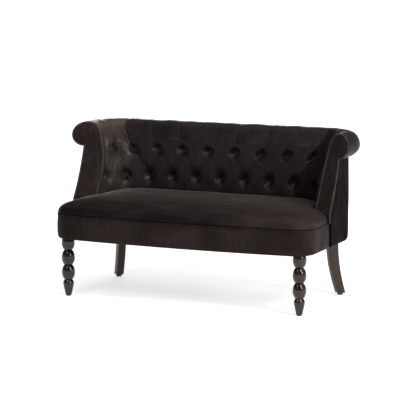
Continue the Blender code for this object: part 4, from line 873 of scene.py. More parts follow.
def inside_back_cover():
    """The back's cover, from corner seam to corner seam."""
    rows = []
    for w in cover_levels():
        reach = float(seam_s(w))
        s = np.linspace(-reach, reach, round(2 * reach / CELL) + 1)
        s[0] += SEAM_GAP / 2
        s[-1] -= SEAM_GAP / 2
        rows.append((s, cover_row(w, s)))
    for place in hidden_places():
        reach = (SEAM_STEPS + 0.5) * PITCH - SEAM_GAP / 2
        s = np.linspace(-reach, reach, HIDDEN_COLUMNS["back"])
        rows.append((s, np.stack(place(station_at(s)), -1)))
    cover = rows_object("back_cover", rows, velvet)
    dress(cover, "velvet", "inside_back_pad")


def inside_arm_cover(word, sign):
    """An arm's cover, from its corner seam to the arm's front."""
    rows = []
    for w in cover_levels():
        def bare(station, w=w):
            point, _ = face_place(w, station)
            return point

        start, end = float(seam_s(w)) + SEAM_GAP / 2, end_distance(bare, FACING_BACK)
        s = float(seam_s(w)) + CELL * np.arange(round((end - start) / CELL))
        s = np.append(s[s < end - 0.5 * CELL], end)
        s[0] = start
        rows.append((s, cover_row(w, s, end - s) * (sign, 1.0, 1.0)))
    for place in hidden_places():
        start, end = (SEAM_STEPS + 0.5) * PITCH + SEAM_GAP / 2, end_distance(place, FACING_BACK)
        s = np.linspace(start, end, HIDDEN_COLUMNS["arm"])
        rows.append((s, np.stack(place(station_at(s)), -1) * (sign, 1.0, 1.0)))
    cover = rows_object("arm_cover_" + word, rows, arm_velvets[word])
    dress(cover, "velvet", "inside_arm_pad_" + word)


# A button's dome: shares of its radius and of its height, from the hidden rim to the middle
DOME = ((0.80, -0.10), (0.94, 0.05), (1.0, 0.28), (0.975, 0.50), (0.88, 0.72), (0.70, 0.87), (0.45, 0.96),
        (0.18, 1.0))
BUTTON_SIDES = 36
BUTTON_TILT = 0.05
RIM_GATHERS = 9
RIM_GATHER = 0.030  # share of the radius
BUTTON_SET = 0.001 - BUTTON_SINK  # its rim against the cover's plain line


def tuft_button(ending, s, z, seed):
    """A covered button: a shallow dome whose cloth is gathered in at the rim."""
    point, direction = face_place(z, station_at(s))
    across = np.cross(direction, (0.0, 0.0, 1.0))
    across /= np.linalg.norm(across)
    up = np.cross(across, direction)
    cosines, sines = circle(BUTTON_SIDES)
    a = 2 * np.pi * np.arange(BUTTON_SIDES) / BUTTON_SIDES
    rng = np.random.default_rng(100 + seed)
    tilt = rng.normal(0.0, BUTTON_TILT, 2)
    rings = []
    for share, rise in DOME:
        gather = 1 + RIM_GATHER * np.cos(RIM_GATHERS * a + rng.uniform(0, 6)) * bump(rise - 0.2, 0.3)
        radius = BUTTON_RADIUS * share * gather
        u, v = radius * cosines, radius * sines
        height = BUTTON_SET + BUTTON_HEIGHT * rise + tilt[0] * u + tilt[1] * v
        rings.append(point + np.outer(u, across) + np.outer(v, up) + np.outer(height, direction))
    button = loft("tuft_button_" + ending, rings, velvet)
    dress(button, "velvet", "button_" + ending)


def tuft_buttons():
    rows = (("top", TOP_ROW_Z, TOP_ROW_COUNT, 0), ("low", LOW_ROW_Z, LOW_ROW_COUNT, TOP_ROW_COUNT))
    for row, z, count, before in rows:
        for i in range(count):
            tuft_button(f"{row}_{i + 1:02d}", (i - (count - 1) / 2) * PITCH, z, before + i + 1)


# The seat

def seat_front(x):
    """The bowed front of the seat box."""
    share = np.minimum(1.0, np.abs(x) / (SEAT_HALF_WIDTH - SEAT_CORNER_RADIUS))
    return SEAT_FRONT_Y - SEAT_BOW * (1 - share ** 2)


def seat_line(inset, arm_y, step):
    """Outline of the seat box from the left arm, round the front, to the right arm, drawn in by inset."""
    centre_x, centre_y = SEAT_HALF_WIDTH - SEAT_CORNER_RADIUS, SEAT_FRONT_Y + SEAT_CORNER_RADIUS
    radius, side_x = SEAT_CORNER_RADIUS - inset, SEAT_HALF_WIDTH - inset
    bow = round(centre_x / step)
    x = centre_x * np.arange(bow) / bow
    front = np.stack([x, seat_front(x) + inset], -1)
    turns = round(SEAT_CORNER_RADIUS * math.pi / 2 / step)
    a = math.pi / 2 * np.arange(turns) / turns
    corner = np.stack([centre_x + radius * np.sin(a), centre_y - radius * np.cos(a)], -1)
    sides = round((FRONT_FOOT_Y - centre_y) / step)
    y = lerp(centre_y, arm_y(side_x), np.arange(sides + 1) / sides)
    side = np.stack([np.full(len(y), side_x), y], -1)
    right = np.concatenate([front, corner, side])
    return np.concatenate([right[:0:-1] * (-1.0, 1.0), right])


def edge_distance(x, y):
    """How far a point lies inside the seat box outline, ignoring its open back."""
    across = np.abs(x) - (SEAT_HALF_WIDTH - SEAT_CORNER_RADIUS)
    ahead = SEAT_FRONT_Y + SEAT_CORNER_RADIUS - y
    round_part = SEAT_CORNER_RADIUS - np.hypot(across, ahead)
    plain = np.minimum(SEAT_HALF_WIDTH - np.abs(x), y - seat_front(x))
    return np.where((across > 0) & (ahead > 0), round_part, plain)


def cover_clearance(x, y):
    """Distance in front of the arm and back covers; in front of the arms it is large."""
    half_width, back_y, radius = INSIDE_LINE
    across, behind = np.abs(x) - (half_width - radius), y - (back_y - radius)
    return radius - np.hypot(np.maximum(across, 0.0), np.maximum(behind, 0.0))


def seat_top_z(x, y):
    """Height of the plain seat: a rolled edge and a crowned middle."""
    inside = np.clip(edge_distance(x, y) / SEAT_EDGE_REACH, 0.0, 1.0)
    rounded = (1 - (1 - inside) ** SEAT_EDGE_POWER) ** (1 / SEAT_EDGE_POWER)
    middle = smoothstep(edge_distance(x, y) / SEAT_CROWN_REACH)
    return SEAT_LEDGE_Z + SEAT_EDGE_RISE * rounded + SEAT_CROWN * middle


STRIP_STEP = 0.005
STRIP_CLEAR = 0.001  # room below the welt
STRIP_BELLY = 0.0018  # the cloth's stand between its two edges
STRIP_END = 0.03  # the belly fades over this length beside the arm fronts
STRIP_WAVES = ((0.0007, 0.09, 21, 0.4), (0.0005, 0.2, 22, 1.0))


def seat_strip():
    """The velvet strip below the welt, drawn round its frame with a soft lower edge."""
    top = SEAT_WELT_Z - WELT_RADIUS - STRIP_CLEAR
    edge = BORDER_EDGE_RADIUS
    a = math.pi / 2 * np.arange(7) / 6
    hidden = [(BORDER_THICKNESS, top), (BORDER_THICKNESS, SEAT_BOTTOM_Z + STRIP_CLEAR)]
    section = hidden + list(zip(edge * (1 - np.sin(a)), SEAT_BOTTOM_Z + edge * (1 - np.cos(a))))
    section += [(0.0, z) for z in np.linspace(SEAT_BOTTOM_Z + edge, top, 18)[1:]]
    rows = []
    for inset, z in section:
        line = seat_line(inset, lambda x, z=z: front_y(x, z) + FACING_THICKNESS, STRIP_STEP)
        rows.append(at_height(z, *line.T))
    rings = np.array(rows).transpose(1, 0, 2)
    outline = rings[:, -1, :2]
    travelled = np.cumsum(np.linalg.norm(np.diff(outline, axis=0, prepend=outline[:1]), axis=1))
    tangent = np.gradient(outline, axis=0)
    tangent /= np.linalg.norm(tangent, axis=1)[:, None]
    outward = at_height(0.0, tangent[:, 1], -tangent[:, 0])[:, None]
    height = (rings[:, :, 2] - SEAT_BOTTOM_Z) / (top - SEAT_BOTTOM_Z)
    shown = np.arange(len(section)) > len(hidden)
    belly = STRIP_BELLY * np.sin(np.pi * np.clip(height, 0, 1))
    flat = np.stack([np.repeat(travelled, rings.shape[1]), rings[:, :, 2].ravel()], -1)
    end = np.minimum(np.arange(len(rings)), np.arange(len(rings))[::-1])[:, None] * STRIP_STEP
    stand = (belly + uneven(flat, STRIP_WAVES).reshape(height.shape)) * shown
    stand = stand * smoothstep(end / STRIP_END) * smoothstep(height / 0.2)
    strip = loft("seat_strip", rings + outward * stand[..., None], strip_velvet)
    dress(strip, "velvet", "seat_border")


def seat_piping():
    """The welt on top of the border."""
    line = seat_line(WELT_RADIUS - WELT_PROUD,
                     lambda x: front_y(x, SEAT_WELT_Z) + FACING_THICKNESS - WELT_RADIUS, WELT_STEP)
    path = at_height(SEAT_WELT_Z, *line.T)
    path[:, 2] += 0.0002 * waves(path, 0.25, 31)
    dress(welt_cord("seat_piping", path, welt_velvet, 32), "velvet", "seat_welt")


def seat_outline():
    """The seat cushion's outline in matched front and back halves, left to right."""
    def before_arm(x):
        return front_y(x, FRONT_FOOT_Z) - SEAT_ARM_CLEAR

    front = seat_line(0.0, before_arm, SEAT_STEP)
    inner_x = INSIDE_HALF_WIDTH - SEAT_TUCK
    line = inset_line(INSIDE_LINE, SEAT_TUCK)
    arm_y = before_arm(inner_x)
    step = np.arange(0.0, 1.0, 0.05)
    corner_top = lerp(SEAT_HALF_WIDTH, inner_x, step)
    shoulder = np.stack([corner_top, before_arm(corner_top)], -1)
    side_y = lerp(arm_y, INSIDE_BACK_Y - INSIDE_CORNER_RADIUS, step)
    side = np.stack([np.full(len(step), inner_x), side_y], -1)
    stations = np.concatenate([lerp(TURN_END, BACK_END, np.arange(0, 1, 1 / 34)),
                               lerp(BACK_END, 0.0, np.arange(0, 1 + 1e-9, 1 / 60))])
    x, y, _, _ = plan(line, stations)
    right = np.concatenate([shoulder[1:], side, np.stack([x, y], -1)])
    left = right[-2::-1] * (-1.0, 1.0)
    return front, np.concatenate([right, left])


COVER_VOXEL = 0.006  # even mesh on which the seat's cover is blown out as cloth
COVER_FRAMES = 20
COVER_PRESSURE = 4.0
COVER_LIFT = 0.0045  # most that the cover then moves
COVER_MARGIN = 0.030  # it is free from this distance inside its edges
COVER_LOW, COVER_RISE = 0.006, 0.020  # held up to the first height over the ledge, free the second above it
NEAR_COUNT = 6  # points of the even mesh that move a point of the cushion
NEAR_REACH = 0.003  # added to their distances, which weigh them


def held_share(places):
    """1 where the seat's cover is held, at the welt, skirt and covers behind, and 0 on its free top."""
    x, y, z = places.T
    edge = edge_distance(x, y) / COVER_MARGIN
    behind = np.where(y > FRONT_FOOT_Y, (cover_clearance(x, y) - SEAT_TUCK) / COVER_MARGIN, 1.0)
    low = (z - SEAT_LEDGE_Z - COVER_LOW) / COVER_RISE
    return 1 - smoothstep(np.minimum(np.minimum(edge, behind), low))


def vertex_places(mesh):
    places = np.empty(len(mesh.vertices) * 3, np.float32)
    mesh.vertices.foreach_get("co", places)
    return places.reshape(-1, 3).astype(float)


def cloth_lift(obj):
    """Blows a copy of the cushion's cover out as cloth, and moves the cushion by the capped movement."""
    scene = bpy.context.scene
    trial = bpy.data.objects.new("cover_trial", obj.data.copy())
    scene.collection.objects.link(trial)
    remesh = trial.modifiers.new("even_mesh", "REMESH")
    remesh.mode, remesh.voxel_size = "VOXEL", COVER_VOXEL
    even = bpy.data.meshes.new_from_object(trial.evaluated_get(bpy.context.evaluated_depsgraph_get()))
    trial.modifiers.clear()
    trial.data = even
    before = vertex_places(even)
    held = held_share(before - (0.0, LEG_LINE_Y, 0.0))
    group = trial.vertex_groups.new(name="held")
    for index in np.nonzero(held > 0.01)[0]:
        group.add([int(index)], float(held[index]), "REPLACE")
    cloth = trial.modifiers.new("cover", "CLOTH")
    cloth.settings.use_pressure = True
    cloth.settings.uniform_pressure_force = COVER_PRESSURE
    cloth.settings.effector_weights.gravity = 0.0
    cloth.settings.vertex_group_mass = "held"
    cloth.point_cache.frame_start, cloth.point_cache.frame_end = 1, COVER_FRAMES
    for step in range(1, COVER_FRAMES + 1):
        scene.frame_set(step)
    blown = trial.evaluated_get(bpy.context.evaluated_depsgraph_get())
    moved = vertex_places(blown.data) - before
    scene.frame_set(1)
    bpy.data.objects.remove(trial)
    reach = np.linalg.norm(moved, axis=1)
    moved *= (COVER_LIFT * np.tanh(reach / COVER_LIFT) / np.maximum(reach, 1e-9))[:, None]
    tree = KDTree(len(before))
    for index, place in enumerate(before):
        tree.insert(place, index)
    tree.balance()
    places = vertex_places(obj.data)
    free = 1 - held_share(places - (0.0, LEG_LINE_Y, 0.0))
    for index, place in enumerate(places):
        if free[index] > 0.0:
            near = tree.find_n(place, NEAR_COUNT)
            weights = np.array([1 / (distance + NEAR_REACH) ** 2 for _, _, distance in near])
            lift = weights @ moved[[at for _, at, _ in near]] / weights.sum()
            places[index] += lift * free[index]
    obj.data.vertices.foreach_set("co", places.astype(np.float32).ravel())
    obj.data.update()


SEAT_CORE_SHARE, SEAT_CORE_HALF_WIDTH = 0.72, 0.36  # line to which the rings of the top close
SKIRT_INSET = BORDER_THICKNESS + 0.006
SKIRT_CLEAR = 0.0015
SEAT_UNDERSIDE = ((0.29, 0.0), (0.26, 0.0015), (0.09, 0.0032))  # share of the way in, rise over the ledge
SEAT_RINGS = (0.0, 0.002, 0.006, 0.012, 0.02, 0.03, 0.042, 0.056, 0.072, 0.09, *np.linspace(0.11, 0.97, 44))
SEAT_DIP = 0.005  # the top sinks by this much where it meets the covers
SEAT_DIP_REACH = 0.012
SEAT_DIP_START, SEAT_DIP_RISE = 0.19, 0.05  # depths from which it sinks, and over which that sets in
SEAT_EDGE_FADE = 0.03
SEAT_WAVES = ((0.0004, 0.20, 41, 1.0), (0.00015, 0.08, 42, 1.0))
SEAT_LIP_RISE, SEAT_LIP_SLOPE = 0.0055, 0.02  # least height over the ledge, and its rise further in


def seat_cushion():
    """The padded seat: a drawn-in skirt, a rolled edge over the welt and a crowned top."""
    front, rest = seat_outline()
    outline = np.concatenate([front, rest])
    exposed = np.arange(len(outline)) < len(front)
    core_x = np.clip(outline[:, 0] * SEAT_CORE_SHARE, -SEAT_CORE_HALF_WIDTH, SEAT_CORE_HALF_WIDTH)
    core = np.stack([core_x, np.full(len(outline), (SEAT_FRONT_Y + INSIDE_BACK_Y) / 2)], -1)
    drawn_in = np.where(exposed, SKIRT_INSET, 0.0)[:, None]
    inner = outline + (core - outline) / np.linalg.norm(core - outline, axis=1)[:, None] * drawn_in
    clear_x = SEAT_HALF_WIDTH - BORDER_THICKNESS - SKIRT_CLEAR
    inner[:, 0] = np.clip(inner[:, 0], -clear_x, clear_x)
    rings = [at_height(z, *inner.T) for z in (PAD_BOTTOM_Z, SEAT_LEDGE_Z - 0.001)]
    for share, rise in SEAT_UNDERSIDE:
        rings.append(at_height(SEAT_LEDGE_Z + rise, *lerp(outline, inner, share).T))
    for share in SEAT_RINGS:
        xy = lerp(outline, core, share)
        x, y = xy.T
        behind = smoothstep((y - SEAT_DIP_START) / SEAT_DIP_RISE)
        dip = SEAT_DIP * (1 - smoothstep((cover_clearance(x, y) - SEAT_TUCK) / SEAT_DIP_REACH)) * behind
        shown = smoothstep(edge_distance(x, y) / SEAT_EDGE_FADE)
        z = seat_top_z(x, y) - dip + shown * uneven(xy, SEAT_WAVES)
        least = SEAT_LEDGE_Z + SEAT_LIP_RISE + SEAT_LIP_SLOPE * share
        rings.append(at_height(np.maximum(z, least), x, y))
    cushion = loft("seat_cushion", rings, seat_velvet, 75)
    cloth_lift(cushion)
    dress(cushion, "velvet", "seat_pad")


# Arm front facings

FACING_STEP = 0.004
FACING_INSET = 2 * WELT_RADIUS + GAP
FACING_SEAT = 0.0020  # the facing's edge lies this far behind the arm front's surface
FACING_CROWN = 0.0034
FACING_CROWN_REACH = 0.016
CURLS = ((0.0022, 0.036, 0.0034), (0.0018, 0.020, 0.0036))  # height, radius and width of the curled pleats
FACING_WAVES = ((0.0004, 0.016, 51, 0.08), (0.0004, 0.05, 52, 0.2))


def inner_edge_x(z):
    """Where an arm front's inner edge lies at height z."""
    return lerp(INSIDE_HALF_WIDTH, ROLL_HALF_WIDTH - ROLL_RADIUS * math.cos(ROLL_JOIN), lean_at(z))


def facing_span(z, inset):
    """Inner and outer x of an arm front at height z, drawn in by inset."""
    radius = ROLL_RADIUS - inset
    half = math.sqrt(max(0.0, radius ** 2 - (z - ROLL_Z) ** 2))
    inner = inner_edge_x(z) + inset
    if z >= ROLL_Z:
        inner = ROLL_HALF_WIDTH - half
    outer = OUTSIDE_HALF_WIDTH - inset
    if z > ROLL_Z - radius:
        outer = max(outer, ROLL_HALF_WIDTH + half) if z < ROLL_Z else ROLL_HALF_WIDTH + half
    return inner, outer


def arm_front(word, sign):
    """The facing: velvet drawn softly over the arm's front inside its piping."""
    radius = ROLL_RADIUS - FACING_INSET
    levels = list(np.arange(FACING_BOTTOM_Z, ROLL_Z - radius, FACING_STEP))
    levels += list(ROLL_Z - radius * np.cos(np.linspace(0.05, math.pi - 0.04, 70)))
    share = np.arange(61) / 60
    rings = []
    for z in levels:
        inner, outer = facing_span(z, FACING_INSET)
        x = lerp(inner, outer, share)
        flat = np.stack([x, np.full(len(x), z)], -1)
        edge = np.minimum(np.minimum(share, 1 - share) * (outer - inner), ROLL_Z + radius - z)
        ring = np.hypot(x - ROLL_HALF_WIDTH, z - ROLL_Z)
        curl = sum(height * bump(ring - place, width) for height, place, width in CURLS)
        curl = curl * smoothstep((z - ROLL_Z + 0.050) / 0.040)
        crown = FACING_CROWN * smoothstep(edge / FACING_CROWN_REACH) + curl
        streaks = uneven(flat, FACING_WAVES) * smoothstep(edge / 0.012)
        front = at_height(z, sign * x, front_y(x, z) + FACING_SEAT - crown - streaks)
        back = at_height(z, sign * x, front_y(x, z) + FACING_THICKNESS)
        rings.append(np.concatenate([front, back[::-1]]))
    dress(loft("facing_" + word, rings, facing_velvet), "velvet", "arm_facing_" + word)


def arm_front_piping(word, sign):
    """The welt along the facing's inner edge, round the scroll and down its outer edge."""
    radius = ROLL_RADIUS - WELT_RADIUS
    outer_x = OUTSIDE_HALF_WIDTH - WELT_RADIUS
    turn_end = math.pi + math.acos((outer_x - ROLL_HALF_WIDTH) / radius)
    rising = np.arange(FACING_BOTTOM_Z, ROLL_JOIN_Z, FACING_STEP)
    outline = [(inner_edge_x(z) + WELT_RADIUS, z) for z in rising]
    outline += [(ROLL_HALF_WIDTH - radius * math.cos(t), ROLL_Z + radius * math.sin(t))
                for t in np.linspace(ROLL_JOIN, turn_end, 64)]
    falling = np.arange(outline[-1][1], FACING_BOTTOM_Z, -FACING_STEP)[1:]
    outline += [(outer_x, z) for z in (*falling, FACING_BOTTOM_Z)]
    x, z = np.array(outline).T
    path = at_height(z, sign * x, front_y(x, z) + WELT_SEAT)
    dress(welt_cord("facing_piping_" + word, path, piping_velvet, 61), "velvet", "facing_welt_" + word)


# Outside panels

PANEL_STRAIGHT = OUTSIDE_HALF_WIDTH - OUTSIDE_CORNER_RADIUS
PANEL_SWELL = 0.0018  # stand of the cloth between the panel's edges
PANEL_SWELL_REACH = 0.25
PANEL_HEM = 0.25  # share of the thickness at which the lower edge starts to round
SEAM_DEPTH = 0.0016  # how far the cloth turns in at the panels' upright seams
SEAM_REACH = 0.0026
SEAM_RINGS = np.array([0.0, 0.001, 0.0022, 0.0036, 0.0055, 0.008, 0.012]) / PANEL_STRAIGHT
STITCH_PITCH = 0.0085
STITCH_LENGTH = 0.0046
STITCH_SLANT = (0.55, 0.84)  # shares of its length that a stitch runs sideways and up
STITCH_ARCH = 0.0009
STITCH_MARGIN = (0.004, 0.006)  # from the rounded lower edge, and below the roll
STITCH_SIDES, STITCH_RINGS = 8, 5
THREAD_RADIUS = 0.00055


def panel_rows(stations_of):
    """Rows of an outside panel, from its hidden face round the lower edge and up its outer face."""
    top = ROLL_Z - ROLL_RADIUS - GAP
    low = OUTSIDE_BOTTOM_Z
    a = math.pi / 2 * np.arange(1, 8) / 7
    section = [(0.0, z) for z in np.linspace(top, low, 16)] + [(PANEL_HEM, low)]
    section += list(zip(lerp(PANEL_HEM, 1.0, np.sin(a)), low + OUTSIDE_EDGE_RADIUS * (1 - np.cos(a))))
    section += [(1.0, z) for z in np.linspace(low + OUTSIDE_EDGE_RADIUS, top, 60)[1:]]
    rows = []
    for share, z in section:
        def at(station, share=share, z=z):
            inner, outer = plan(PANEL_INNER_LINE, station), plan(OUTSIDE_LINE, station)
            return lerp(inner[0], outer[0], share), lerp(inner[1], outer[1], share), z

        station = stations_of(at)
        x, y, _ = at(station)
        _, _, nx, ny = plan(OUTSIDE_LINE, station)
        flat = np.stack([station * 0.3, np.full(len(station), z)], -1)
        height = (z - low) / (top - low)
        ends = np.minimum(station - station.min(), station.max() - station)
        swell = PANEL_SWELL * math.sin(math.pi * height) * smoothstep(ends / PANEL_SWELL_REACH)
        ripple = 0.0003 * waves(flat, 0.13, 71) * smoothstep(ends / 0.1) + 0.0001 * waves(flat, 0.05, 72)
        joint = np.abs(np.abs(station) - BACK_END) * PANEL_STRAIGHT
        stand = (swell + ripple) * smoothstep(height / 0.12) * smoothstep((1 - height) / 0.1)
        stand = (stand - SEAM_DEPTH * np.exp(-joint / SEAM_REACH)) * (share == 1.0)
        rows.append(at_height(z, x - nx * stand, y - ny * stand))
    return np.array(rows).transpose(1, 0, 2)


def seam_stitches(word, sign):
    """Short slanting hand stitches that close a panel's upright seam."""
    x, y, _, _ = plan(OUTSIDE_LINE, BACK_END)
    low, high = OUTSIDE_BOTTOM_Z + OUTSIDE_EDGE_RADIUS, ROLL_Z - ROLL_RADIUS
    cosines, sines = circle(STITCH_SIDES)
    rings, faces = [], []
    for z in np.arange(low + STITCH_MARGIN[0], high - STITCH_MARGIN[1], STITCH_PITCH):
        first = len(rings) * STITCH_SIDES
        for share in np.linspace(-0.5, 0.5, STITCH_RINGS):
            thick = THREAD_RADIUS * (0.55 + 0.45 * math.cos(share * 2.4))
            sideways, up = (slant * STITCH_LENGTH * share for slant in STITCH_SLANT)
            out = STITCH_ARCH * (1 - (2 * share) ** 2) - SEAM_DEPTH
            rings.append(at_height(z + up, sign * x + sideways + thick * cosines, y + out + thick * sines))
        faces += ring_faces(STITCH_RINGS, STITCH_SIDES, first)
        faces += [ring_indices(k, STITCH_SIDES, first) for k in (0, STITCH_RINGS - 1)]
    stitches = mesh_object("back_seam_stitches_" + word, np.concatenate(rings), faces, welt_velvet, 70)
    dress(stitches, "velvet")


def outside_panels():
    """The back cover and both arm covers, which meet in upright seams behind the corners."""
    end = BACK_END - GAP / PANEL_STRAIGHT
    middle = np.linspace(-end + 0.03, end - 0.03, 164)
    across = np.concatenate([-end + SEAM_RINGS, middle, (end - SEAM_RINGS)[::-1]])
    rings = panel_rows(lambda at: across)
    dress(loft("outside_back_cover", rings, back_velvet, curved_ends=True), "velvet", "outside_back_panel")
    for word, sign in (("left", -1.0), ("right", 1.0)):
        def stations(at):
            last = end_distance(at, FACING_BACK)
            turn = BACK_END + GAP + np.concatenate([SEAM_RINGS, np.linspace(0.03, 1 - GAP, 40)[:-1]])
            return np.concatenate([turn, lerp(TURN_END, float(station_at(last)), np.arange(31) / 30)])

        rings = panel_rows(stations) * (sign, 1.0, 1.0)
        name = "outside_arm_cover_" + word
        dress(loft(name, rings, panel_velvet, curved_ends=True), "velvet", "outside_arm_panel_" + word)
        seam_stitches(word, sign)


# Legs and glides

BEAD_RADIUS = 0.0280
NECK_RADIUS = 0.0165
BEAD_PITCH = 0.0626
FOOT_NECK_Z = 0.0698
FOOT_SHOULDER_RADIUS = 0.0230
FOOT_SHOULDER_Z = 0.0550
FOOT_TIP_RADIUS = 0.0135
FOOT_TIP_HEIGHT = 0.003
FOOT_BELLY = ((0.82, 0.55), (0.97, 0.88), (1.0, 1.0), (0.94, 1.11))  # shares of the shoulder's radius and z
BEADS = 3
STUD_RADIUS, STUD_HEIGHT = 0.004, 0.030
FRONT_GLIDE_HEIGHT = 0.003
LEG_TOP_Z = DUST_COVER_LOW[2] - GAP
REAR_LEG_SPLAY = 0.040
REAR_LEG_THICKNESS = 0.034
REAR_LEG_TOP_DEPTH = 0.046
REAR_LEG_FOOT_DEPTH = 0.036
REAR_LEG_EDGE = 0.0035
REAR_LEG_STEPS = 60
REAR_FOOT_EDGE = ((0.0, 0.0022), (0.0010, 0.0007))  # height over the glide, drawn in by
REAR_FOOT_RISE = 0.0024
REAR_GLIDE_HEIGHT = 0.0087
FRONT_GLIDE_RADIUS = 0.0105
REAR_GLIDE_RADIUS = 0.012


def turned(name, profile, material, place, sides=72, smooth_angle=50.0):
    """A round piece about Z through (radius, z) points, from the floor up, closed at both ends."""
    cosines, sines = circle(sides)
    rings = [at_height(z, place[0] + r * cosines, place[1] + r * sines) for r, z in profile]
    return loft(name, rings, material, smooth_angle)


def bead_profile():
    """A front leg's profile: a tapered foot, three beads with necks between them, and the stud above."""
    base = FRONT_GLIDE_HEIGHT + GAP
    tip = (FOOT_TIP_RADIUS, base + FOOT_TIP_HEIGHT)
    belly = [(FOOT_SHOULDER_RADIUS * wide, FOOT_SHOULDER_Z * high) for wide, high in FOOT_BELLY]
    foot = refined(np.array([tip, *belly, (NECK_RADIUS, FOOT_NECK_Z)]), 0.0018)
    profile = [(FOOT_TIP_RADIUS * 0.55, base), (FOOT_TIP_RADIUS * 0.86, base + 0.0006), tip]
    profile += [tuple(point) for point in foot[1:]]
    half = BEAD_PITCH / 2
    long_axis = half / math.sqrt(1 - (NECK_RADIUS / BEAD_RADIUS) ** 2)
    for bead in range(BEADS):
        centre = FOOT_NECK_Z + half + bead * BEAD_PITCH
        for z in centre - half * np.cos(np.linspace(0, math.pi, 27)[1:]):
            if z < LEG_TOP_Z - 0.0008:
                profile.append((BEAD_RADIUS * math.sqrt(1 - ((z - centre) / long_axis) ** 2), z))
    stud = [(STUD_RADIUS, LEG_TOP_Z), (STUD_RADIUS, LEG_TOP_Z + STUD_HEIGHT)]
    return profile + [(profile[-1][0], LEG_TOP_Z)] + stud


def front_leg(word, sign):
    place = (sign * FRONT_LEG_X, 0.0)
    leg = turned("turned_leg_" + word, bead_profile(), lacquer, place)
    dress(leg, "black_lacquer", "front_leg_" + word)
    glide("front_foot_glide_" + word, FRONT_GLIDE_RADIUS, FRONT_GLIDE_HEIGHT, place, "front_glide_" + word)


def glide(name, radius, height, place, node):
    """A round foot glide with eased edges."""
    profile = [(radius * 0.50, 0.0), (radius * 0.85, 0.0), (radius * 0.95, height * 0.12),
               (radius, height * 0.4), (radius, height * 0.86), (radius * 0.94, height)]
    dress(turned(name, profile, plastic, place, 40), "glide_plastic", node)


def rear_leg(word, sign):
    """A square leg swept outwards along the corner diagonal, its edges rounded over."""
    low, high = span("rear_glide_" + word)
    foot = np.array([(low[0] + high[0]) / 2, (low[1] + high[1]) / 2 - LEG_LINE_Y])
    outward = np.array([sign, 1.0]) / math.sqrt(2)
    across = np.array([outward[1], -outward[0]])
    top = foot - outward * REAR_LEG_SPLAY
    base = REAR_GLIDE_HEIGHT + GAP
    levels = [(0.0, base + rise, ease) for rise, ease in REAR_FOOT_EDGE]
    levels += [(t, lerp(base + REAR_FOOT_RISE, LEG_TOP_Z, t), 0.0)
               for t in np.arange(REAR_LEG_STEPS + 1) / REAR_LEG_STEPS]
    rings = []
    for t, z, ease in levels:
        centre = top + outward * REAR_LEG_SPLAY * (1 - t) ** 2
        deep = lerp(REAR_LEG_FOOT_DEPTH, REAR_LEG_TOP_DEPTH, t) / 2 - ease
        wide = REAR_LEG_THICKNESS / 2 - ease
        ring = []
        for cu, cv, start in ((1, 1, 0.0), (-1, 1, 90.0), (-1, -1, 180.0), (1, -1, 270.0)):
            for step in range(6):
                a = math.radians(start + 90.0 * step / 5)
                u = cu * (deep - REAR_LEG_EDGE) + REAR_LEG_EDGE * math.cos(a)
                v = cv * (wide - REAR_LEG_EDGE) + REAR_LEG_EDGE * math.sin(a)
                ring.append((*(centre + outward * u + across * v), z))
        rings.append(ring)
    dress(loft("swept_leg_" + word, rings, satin_lacquer, 40), "black_lacquer", "rear_leg_" + word)
    glide("rear_foot_glide_" + word, REAR_GLIDE_RADIUS, REAR_GLIDE_HEIGHT, foot, "rear_glide_" + word)


# Frame, webbing and dust cover keep their solids

def finish_frame():
    """Gives the timber, webbing and dust cover their grain and weave."""
    materials = {"birch": birch, "webbing": webbing_cloth, "dust_cover_cloth": dust_cloth}
    for part in frame["record"]["subparts"]:
        material = materials.get(part.get("material_slot"))
        obj = frame["nodes"].get(part["node"])
        if material and obj:
            obj.data.materials.clear()
            obj.data.materials.append(material)


# Studio

FLOOR_COLOUR = (0.90, 0.90, 0.90, 1.0)
FLOOR_HALF_WIDTH = 30.0
FLOOR_GLOW = 0.64  # glow under the settee, where its shadow shows
GLOW_START, GLOW_END = 0.9, 2.4  # distances from the settee over which the glow rises to white
WORLD_LEVEL = 0.20
CEILING_LEVEL = 0.20  # what reflections see above the horizon band
HORIZON_BAND = 0.25
WHITE = (1.0, 1.0, 1.0, 1.0)


def seen_rays(m):
    """The camera's rays, and with them those in a reflection or through something clear."""
    path = m.node("ShaderNodeLightPath").outputs
    mirrored = m.math("MAXIMUM", path["Is Glossy Ray"], path["Is Transmission Ray"])
    return path["Is Camera Ray"], m.math("MAXIMUM", path["Is Camera Ray"], mirrored)


def floor_material():
    """Paper white where it is seen, keeping a soft grey shadow."""
    m = material_nodes("studio_floor")
    away = m.node("ShaderNodeVectorMath", {0: m.coordinates}, operation="LENGTH").outputs["Value"]
    level = m.remap(away, GLOW_START, GLOW_END, FLOOR_GLOW, 1.0, "SMOOTHSTEP")
    strength = m.math("MULTIPLY", seen_rays(m)[1], level)
    glow = m.node("ShaderNodeEmission", {"Color": WHITE, "Strength": strength})
    diffuse = m.node("ShaderNodeBsdfDiffuse", {"Color": FLOOR_COLOUR})
    total = m.node("ShaderNodeAddShader", {0: diffuse.outputs["BSDF"], 1: glow.outputs["Emission"]})
    m.fill(m.tree.nodes["Material Output"], {"Surface": total.outputs["Shader"]})
    m.tree.nodes.remove(m.tree.nodes["Principled BSDF"])
    return m.owner


